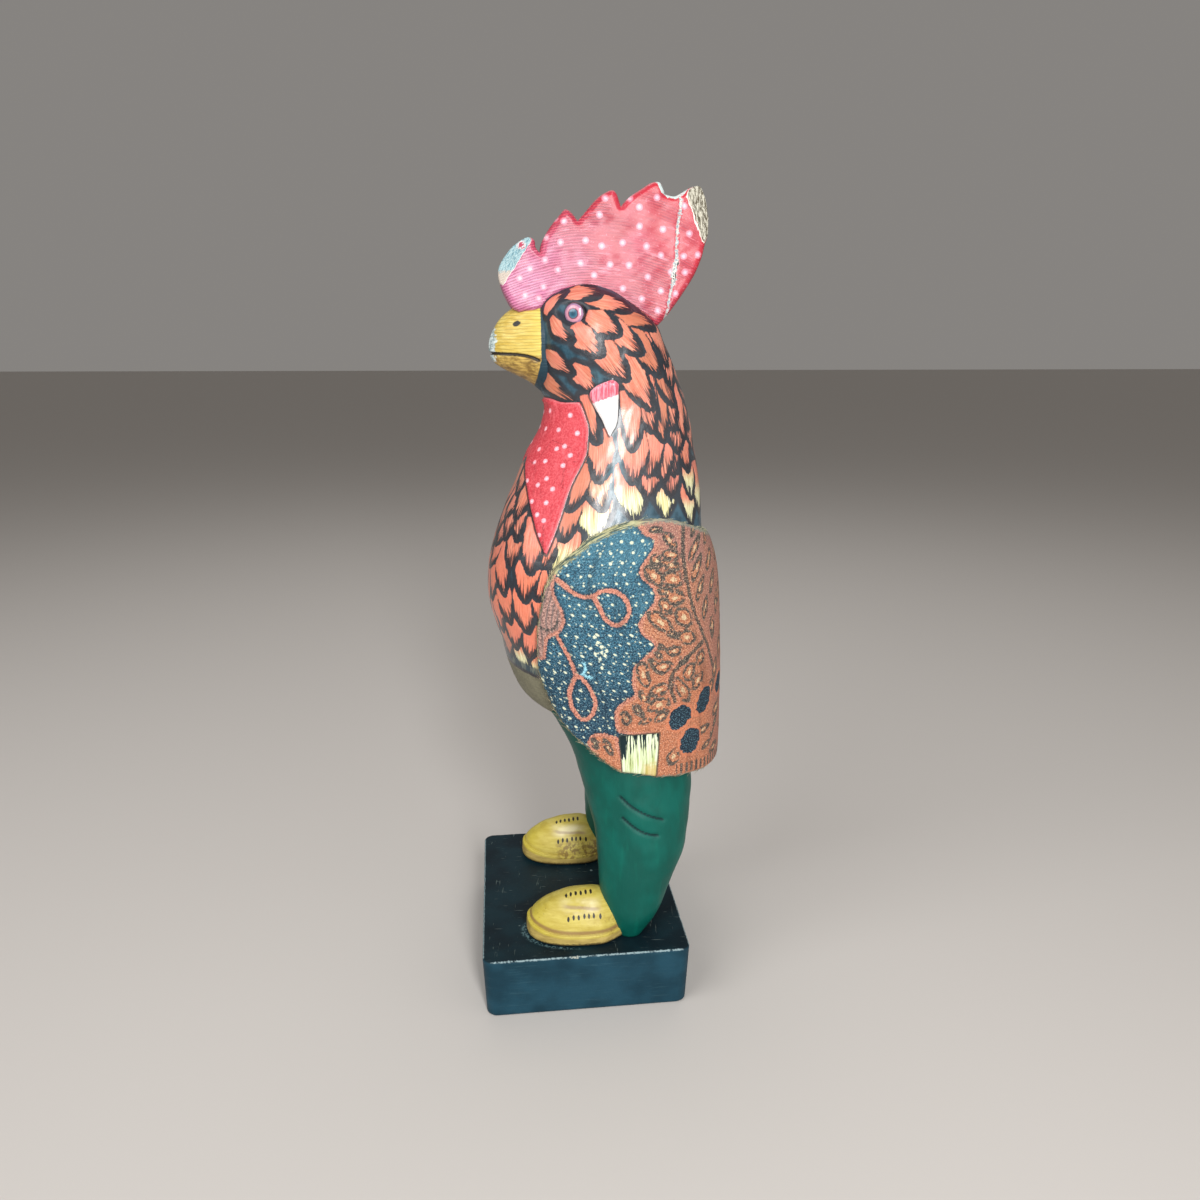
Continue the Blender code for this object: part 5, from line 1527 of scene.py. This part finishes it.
rust = paint.mix(tooth * 0.9, rust, ring_ink)
rust = paint.mix(fine.step(0.43, 0.36) * 0.55, rust, tint(74, 52, 46))
rust = paint.mix(fine.step(0.58, 0.66) * 0.5, rust, tint(230, 190, 162))
rust = paint.mix(cell.step(-1.5, -1.1) * 0.6, rust, tint(206, 126, 92))
rust = paint.mix(cell.step(-0.1, 0.15), rust, dark_blue)
stripes = paint.maths("SINE", u * 2.6 - v * 0.5 + (cloud - 0.5) * 9.0)
pale = paint.mix(grit.step(0.38, 0.6), tint(108, 82, 76), tint(190, 150, 138))
pale = paint.mix(stripes.step(0.2, 0.75) * 0.6, pale, tint(86, 84, 84))
pale = paint.mix((pod - 0.9).step(0.6, 0.0) * 0.75, pale, pink)
pale = paint.mix(abs(paint.field("heart") + jitter * 0.4).step(0.7, 0.4) * 0.75, pale, ring_ink)
shadow = leaf.step(-1.3, -0.2).most(vine.step(-1.3, -0.2)).most(pod.step(-1.2, -0.2))
colour = paint.mix(shadow * 0.55, blue, tint(14, 34, 50))
colour = paint.mix(pod.step(-0.2, 0.2), colour, pale)
colour = paint.mix(vine.step(-0.25, 0.2), colour, pink)
colour = paint.mix(leaf.step(-0.2, 0.2), colour, rust)
# Painted shade: dark streaks along the creases of the cloth.
colour = paint.mix(shaded_crease * 0.3, colour, tint(20, 28, 36))
print("with the drawing:", len(paint.tree.nodes), "nodes")

# %% frayed edge, sleeve patch and weave
fray_width = 0.7 + (v - 186.0).step(0.0, 8.0) * (1.5 - (abs(u) - 70.0).step(0.0, 16.0) * 1.0)
frayed = (edge + jitter * 0.9 - fray_width).step(0.5, -0.5)
threads = paint.noise(edge * 2.4, v * 0.3, u * 0.2, 3.0, 0.6)
frayed_colour = paint.mix(threads.step(0.42, 0.6), tint(66, 78, 66), tint(196, 190, 140))
frayed_colour = paint.mix((abs(u) - 70.0).step(0.0, 16.0) * 0.6, frayed_colour, tint(140, 152, 148))
colour = paint.mix(frayed * 0.85, colour, frayed_colour)
sleeve = paint.field("sleeve")
brush = paint.noise(u * 1.05, v * 0.06, 8.0, 3.0, 0.6)
cuff = paint.mix(brush.step(0.35, 0.6), tint(170, 184, 112), tint(230, 240, 206))
tan = (113.0 - v + jitter * 2.0).step(0.0, 5.0) * (abs(u) - 79.5).step(0.0, 4.0)
cuff = paint.mix(tan * 0.7, cuff, tint(204, 170, 92))
dark_side = (74.6 - abs(u)).step(0.0, 1.4) * (v - 112.5).step(0.0, 3.0)
gap = (v * 0.02 - 2.40 + (0.5 - brush) * 1.3 + dark_side * 0.3).step(0.0, 0.05)
cuff = paint.mix(gap, cuff, tint(16, 38, 42))
colour = paint.mix(sleeve.step(-0.1, 0.25), colour, cuff)
colour = paint.mix(abs(sleeve + 0.1).step(0.5, 0.2) * 0.7, colour, tint(52, 60, 52))
weft = paint.maths("SINE", v * 8.0 + paint.noise(u * 0.6, v * 0.6, 0.0, 1.0) * 3.0)
warp = paint.maths("SINE", u * 8.0 + paint.noise(u * 0.6, v * 0.6, 5.0, 1.0) * 3.0)
height = weft * warp * 0.3 + grit * 0.9 - shaded_crease * 0.8 - frayed * 0.2 + threads * frayed * 1.2
paint.finish(jacket, colour, 0.66 + grit * 0.2, height, 0.2, 0.0, 0.4, specular=0.3)

# %% trouser paint
paint = Paint("painted_trousers")
x, y, z = paint.place()
brush = paint.noise(x * 0.3, y * 0.3, z * 0.05, 4.0, 0.6)
speck = paint.noise(x * 1.3, y * 1.3, z * 1.3, 3.0)
patch = paint.noise(x * 0.1, y * 0.1, z * 0.06, 3.0)
fold = paint.field("fold") + (speck - 0.5) * 0.4
colour = paint.mix(patch.step(0.35, 0.65), tint(0, 76, 66), tint(0, 88, 77))
colour = paint.mix(brush.step(0.55, 0.75) * 0.3, colour, tint(4, 106, 88))
spot, chance = paint.cells(x * 0.13, y * 0.13, z * 0.13)
fleck = (spot * 7.7 + (speck - 0.5) * 1.2).step(0.75, 0.4) * chance[0].step(0.6, 0.62)
colour = paint.mix(fleck * (z - 60.0).step(0.0, 30.0) * 0.6, colour, tint(120, 190, 170))
colour = paint.mix(fleck * (z - 84.0).step(0.0, -20.0) * 0.6, colour, tint(4, 52, 48))
# Painted shade: the trousers darken towards the top, under the jacket's hem.
colour = paint.mix((z - 98.0).step(0.0, 12.0) * 0.45, colour, tint(8, 66, 60))
colour = paint.mix(fold.step(0.85, 0.35) * 0.85, colour, tint(6, 34, 38))
paint.finish(trousers, colour, 0.42 + speck * 0.12, brush + speck * 0.2 + patch * 2.0, 0.14, 0.05, 0.25, 0.2)

# %% underside paint
paint = Paint("dark_underside")
x, y, z = paint.place()
shade = paint.noise(x * 0.2, y * 0.2, z * 0.2, 3.0)
paint.finish(underside, paint.mix(shade, tint(26, 34, 34), tint(46, 54, 50)), 0.7)

# %% [markdown]
# ### Shoes
#
# Mustard paint, a little lighter where the brush left it thick, with a painted highlight on top of
# the upper, painted brown shade in the groove above the sole and dark stains near the heel. The lace
# holes are small dark cuts in rows.

# %% shoe paint
paint = Paint("painted_shoes")
x, y, z = paint.place()
part = paint.field("part")
brush = paint.noise(x * 0.25, y * 0.1, z * 0.7, 4.0, 0.6)
speck = paint.noise(x * 1.2, y * 1.2, z * 1.2, 3.0)
patch = paint.noise(x * 0.13, y * 0.1, z * 0.16, 3.0)
colour = paint.mix(brush.step(0.3, 0.7), tint(178, 158, 64), tint(198, 182, 90))
colour = paint.mix((y + 14.0).step(2.0, -8.0) * 0.5, colour, tint(188, 172, 46))
# Painted highlight: a pale sheen across the top of each upper.
painted_sheen = (1.0 - abs(y + 2.0) / 11.0).step(0.0, 0.8) * (1.0 - abs(z - 43.6) / 3.2).step(0.0, 0.7)
colour = paint.mix(painted_sheen * patch.step(0.3, 0.6) * 0.7, colour, tint(236, 226, 190))
# Painted shade: a short grey-mauve line where the upper creases.
crease_line = abs(z - 43.0 + y * 0.06 + (patch - 0.5) * 1.2)
shaded_crease = crease_line.step(0.8, 0.2) * (y + 11.0).step(0.0, 4.0) * (8.0 - y).step(0.0, 4.0)
colour = paint.mix(shaded_crease * 0.5, colour, tint(140, 110, 104))
stain = (patch * 0.5 + speck * 0.5).step(0.5, 0.6) * (y - 2.0).step(-6.0, 10.0)
colour = paint.mix(stain * (42.0 - z).step(0.0, 6.0) * 0.5, colour, tint(122, 88, 40))
mottle = paint.noise(x * 0.5, y * 0.5, z * 0.5, 3.0, 0.6)
blotch = mottle.step(0.44, 0.56) * (y + 12.0).step(0.0, 8.0) * (41.5 - z).step(0.0, 4.0)
colour = paint.mix(blotch * x.step(-2.0, -8.0) * 0.7, colour, tint(104, 74, 36))
dirt = speck.step(0.66, 0.72) * (y + 10.0).step(0.0, -6.0)
colour = paint.mix(dirt * 0.5, colour, tint(110, 86, 40))
groove = abs(part - 0.014 + (speck - 0.5) * 0.008).step(0.022, 0.003) * (1.0 - x.step(-2.0, -8.0) * 0.8)
colour = paint.mix(groove * 0.75, colour, tint(128, 92, 62))
sole = paint.mix(brush.step(0.3, 0.7), tint(156, 134, 72), tint(188, 166, 94))
colour = paint.mix(part.step(-0.1, -0.3), colour, sole)
colour = paint.mix((29.6 - z + (speck - 0.5) * 1.6).step(-0.4, 0.6) * 0.8, colour, tint(60, 48, 34))
colour = paint.mix((paint.field("lace") + (speck - 0.5) * 0.5).step(1.05, 0.75), colour, tint(34, 28, 20))
paint.finish(shoes, colour, 0.46 + speck * 0.12, brush + speck * 0.3, 0.16, 0.12, 0.3, 0.35)

# %% [markdown]
# ### Block
#
# Dark teal house paint, brushed along the sides. It is scratched on top and has gone from the
# arrises, where pale wood shows.

# %% block paint
paint = Paint("painted_block")
x, y, z = paint.place()
speck = paint.noise(x * 0.9, y * 0.9, z * 0.9, 4.0, 0.65)
brush = paint.noise(x * 0.08, y * 0.08, z * 1.1, 4.0, 0.65)
cloud = paint.noise(x * 0.06, y * 0.06, z * 0.06, 3.0)
arris, knock = paint.field("arris"), paint.field("knock")
top = (z - BLOCK_HEIGHT + 0.8).step(0.0, 0.6)
side = paint.mix(cloud.step(0.35, 0.65), tint(14, 50, 64), tint(26, 66, 82))
side = paint.mix(brush.step(0.55, 0.7) * 0.2, side, tint(62, 96, 106))
colour = paint.mix(top, side, paint.mix(cloud.step(0.35, 0.65), tint(5, 24, 32), tint(12, 38, 46)))
scratch = paint.noise(x * 0.07 + y * 0.6, y * 0.05 - x * 0.06, 0.0, 3.0, 0.7)
scratch_b = paint.noise(x * 1.1 - y * 0.1, x * 0.07 + y * 0.1, 7.0, 2.0, 0.6)
marks = (scratch.step(0.64, 0.7) + scratch_b.step(0.66, 0.72)).least(1.0) * top
colour = paint.mix(marks * 0.5, colour, tint(112, 128, 124))
sole_x, sole_y = (abs(x) - SHOE_X) / (SHOE_HALF_WIDTH + 1.2), (y - SHOE_Y) / (SHOE_HALF_LENGTH + 1.5)
halo = paint.maths("SQRT", sole_x * sole_x + sole_y * sole_y)
halo = abs(halo - 1.0 + (speck - 0.5) * 0.12).step(0.07, 0.01) * top * (y + 4.0).step(6.0, -8.0)
halo = halo * speck.step(0.45, 0.6) * x.step(0.0, 4.0)
colour = paint.mix(halo * 0.7, colour, tint(104, 136, 140))
line = (0.75 - arris + (speck - 0.5) * 1.6).step(0.0, 0.3) * speck.step(0.32, 0.45)
colour = paint.mix(line * 0.8, colour, tint(150, 172, 176))
worn = (knock * 2.2 - arris * 0.6 + (speck - 0.5) * 2.2 - 0.2).step(0.1, 0.6)
bare = paint.mix(speck.step(0.35, 0.65), tint(132, 130, 112), tint(190, 190, 176))
colour = paint.mix(worn * 0.8, colour, bare)
spot, chance = paint.cells(x * 0.1, y * 0.1, z * 0.1)
fleck = (spot * 10.0 + (speck - 0.5) * 1.2).step(0.8, 0.4) * chance[0].step(0.7, 0.72)
colour = paint.mix(fleck * 0.6, colour, tint(150, 168, 168))
height = brush * 0.5 + speck * 0.3 + cloud * 2.0 - marks * 0.7 - worn * 0.5
paint.finish(block, colour, 0.48 + speck * 0.15 + worn * 0.3, height, 0.2, 0.0, 0.3, 0.2)
print("materials:", len([m for m in bpy.data.materials if m.users]))

# %% [markdown]
# ## Frayed threads
#
# The cloth was cut and not hemmed, so that short ends of its threads stand along every edge. They
# repeat along a path, which is work for geometry nodes: the cloth's rim becomes a curve, points
# are set along it, and each point gets a thin tapered thread that lies nearly along the edge.

# %% threads along the cloth's edges


def rim_path(name):
    """The cloth's rim as a mesh of edges."""
    place = {old: new for new, old in enumerate(rim_points)}
    mesh = bpy.data.meshes.new(name)
    edges = [(place[a], place[b]) for a, b in jacket_rim]
    mesh.from_pydata((jacket_points[rim_points] * MM).tolist(), edges, [])
    piece = bpy.data.objects.new(name, mesh)
    bpy.context.scene.collection.objects.link(piece)
    return piece


# %% the thread maker
def thread_group():
    """Nodes that set turned and scaled threads at points along a path."""
    group = bpy.data.node_groups.new("threads_along_edges", "GeometryNodeTree")
    group.interface.new_socket("Path", in_out="INPUT", socket_type="NodeSocketGeometry")
    for title, kind in (("Spacing", "Float"), ("Length", "Float"), ("Thickness", "Float"),
                        ("Spread", "Float"), ("Seed", "Int"), ("Material", "Material")):
        group.interface.new_socket(title, in_out="INPUT", socket_type="NodeSocket" + kind)
    group.interface.new_socket("Threads", in_out="OUTPUT", socket_type="NodeSocketGeometry")

    def add(kind, settings=None, sockets=None):
        made = group.nodes.new(kind)
        for setting, value in (settings or {}).items():
            setattr(made, setting, value)
        for key, value in (sockets or {}).items():
            if isinstance(value, bpy.types.NodeSocket):
                group.links.new(value, made.inputs[key])
            else:
                made.inputs[key].default_value = value
        return made

    given = add("NodeGroupInput").outputs
    path = add("GeometryNodeMeshToCurve", sockets={"Mesh": given["Path"]}).outputs[0]
    path = add("GeometryNodeResampleCurve", {"mode": "LENGTH"},
               {"Curve": path, "Length": given["Spacing"]}).outputs[0]
    thread = add("GeometryNodeMeshCone", sockets={
        "Vertices": 5, "Radius Top": 0.00003, "Radius Bottom": given["Thickness"], "Depth": given["Length"]})
    run = add("GeometryNodeInputTangent").outputs[0]
    facing = add("FunctionNodeAlignRotationToVector", {"axis": "Z"}, {"Vector": run}).outputs[0]
    low = add("ShaderNodeCombineXYZ", sockets={0: add("ShaderNodeMath", {"operation": "MULTIPLY"}, {
        0: given["Spread"], 1: -1.0}).outputs[0], 1: -0.5, 2: 0.0}).outputs[0]
    high = add("ShaderNodeCombineXYZ", sockets={0: given["Spread"], 1: 0.5, 2: 6.28}).outputs[0]
    turn = add("FunctionNodeRandomValue", {"data_type": "FLOAT_VECTOR"},
               {0: low, 1: high, "Seed": given["Seed"]})
    turned = add("FunctionNodeRotateRotation", {"rotation_space": "LOCAL"}, {
        0: facing, 1: add("FunctionNodeEulerToRotation", sockets={0: turn.outputs[0]}).outputs[0]})
    grow = add("FunctionNodeRandomValue", {"data_type": "FLOAT"}, {2: 0.35, 3: 1.3, "Seed": given["Seed"]})
    threads = add("GeometryNodeInstanceOnPoints", sockets={
        "Points": path, "Instance": thread.outputs[0], "Rotation": turned.outputs[0],
        "Scale": grow.outputs[1]})
    real = add("GeometryNodeRealizeInstances", sockets={0: threads.outputs[0]})
    done = add("GeometryNodeSetMaterial", sockets={
        "Geometry": real.outputs[0], "Material": given["Material"]})
    add("NodeGroupOutput", sockets={0: done.outputs[0]})
    return group


# %% cotton threads
paint = Paint("cotton_threads")
x, y, z = paint.place()
twist = paint.noise(x * 0.6, y * 0.6, z * 0.6, 2.0)
colour = paint.mix(twist.step(0.4, 0.6), tint(110, 116, 88), tint(210, 204, 168))
colour = paint.mix((z - 186.0).step(0.0, -10.0) * 0.6, colour, tint(120, 96, 84))
path = rim_path("frayed_threads")
weaver = path.modifiers.new("threads", "NODES")
weaver.node_group = thread_group()
for title, value in (("Spacing", 0.5 * MM), ("Length", 2.6 * MM), ("Thickness", 0.09 * MM), ("Spread", 0.35),
                     ("Seed", 5), ("Material", paint.material)):
    weaver[weaver.node_group.interface.items_tree[title].identifier] = value
bpy.context.view_layer.update()
woven = bpy.data.meshes.new_from_object(path.evaluated_get(bpy.context.evaluated_depsgraph_get()))
path.modifiers.remove(weaver)
path.data = woven
threads = path
shade = paint.noise(x * 2.0, y * 2.0, z * 2.0, 1.0)
paint.plug(colour, paint.shader.inputs["Base Color"])
paint.plug(0.8 + shade * 0.15, paint.shader.inputs["Roughness"])
print("threads:", len(woven.polygons), "faces")

# %% hide the model's rooster and plinth, and hang the pieces on the root
for piece in (body, eyes, comb, beak, jacket, threads, underside, trousers, shoes):
    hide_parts("rooster")
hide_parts("plinth")
for piece in (body, eyes, comb, beak, jacket, threads, underside, trousers, shoes, block):
    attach(piece, "root")

# %% [markdown]
# ## Floor, light and camera
#
# A plain pale floor and large soft lamps, as for a catalogue photo. The camera stands where the
# photo's camera stood.

# %% stage
bpy.ops.mesh.primitive_plane_add(size=30, location=(0, 0, 0))
floor = bpy.context.object
floor.name = "floor"
floor_paint = bpy.data.materials.new("floor")
floor_paint.use_nodes = True
floor_shader = floor_paint.node_tree.nodes["Principled BSDF"]
floor_shader.inputs["Base Color"].default_value = (0.56, 0.53, 0.50, 1)
floor_shader.inputs["Roughness"].default_value = 0.9
floor.data.materials.append(floor_paint)
print("floor:", floor.name)

# %% lamps
AIM = (0, 0, 0.24)


def lamp(name, place, power, wide, tall):
    """A soft rectangular lamp that is turned to the figure's middle."""
    light = bpy.data.lights.new(name, "AREA")
    light.energy, light.shape, light.size, light.size_y = power, "RECTANGLE", wide, tall
    holder = bpy.data.objects.new(name, light)
    holder.location = place
    holder.rotation_euler = (Vector(AIM) - Vector(place)).to_track_quat("-Z", "Y").to_euler()
    bpy.context.scene.collection.objects.link(holder)


lamp("key", (0.55, -0.75, 0.85), 6.8, 0.8, 0.8)
lamp("front", (0.80, 0.10, 0.50), 7.5, 0.12, 0.66)
lamp("fill", (0.7, 1.0, 0.5), 2.6, 1.2, 1.2)
lamp("top", (-0.5, 0.1, 1.1), 3.0, 1.0, 1.0)
world = bpy.data.worlds.new("room")
world.use_nodes = True
world.node_tree.nodes["Background"].inputs["Color"].default_value = (0.80, 0.76, 0.72, 1)
world.node_tree.nodes["Background"].inputs["Strength"].default_value = 0.3
bpy.context.scene.world = world
bpy.context.scene.view_settings.view_transform = "Standard"

# %% camera
YAW, PITCH = 0.11263935, 0.26774123
CAMERA_PLACE = (0.38192459, -0.03211521, 0.27636877)
forward = Vector((-math.cos(YAW) * math.cos(PITCH), math.sin(YAW) * math.cos(PITCH), -math.sin(PITCH)))
right = Vector((math.sin(YAW), math.cos(YAW), 0))
eye = bpy.data.cameras.new("camera")
eye.lens, eye.sensor_width, eye.clip_start = 27, 36, 0.01
camera = bpy.data.objects.new("camera", eye)
camera.matrix_world = Matrix.Translation(CAMERA_PLACE) @ Matrix(
    (right, right.cross(forward), -forward)).transposed().to_4x4()
bpy.context.scene.collection.objects.link(camera)
bpy.context.scene.camera = camera
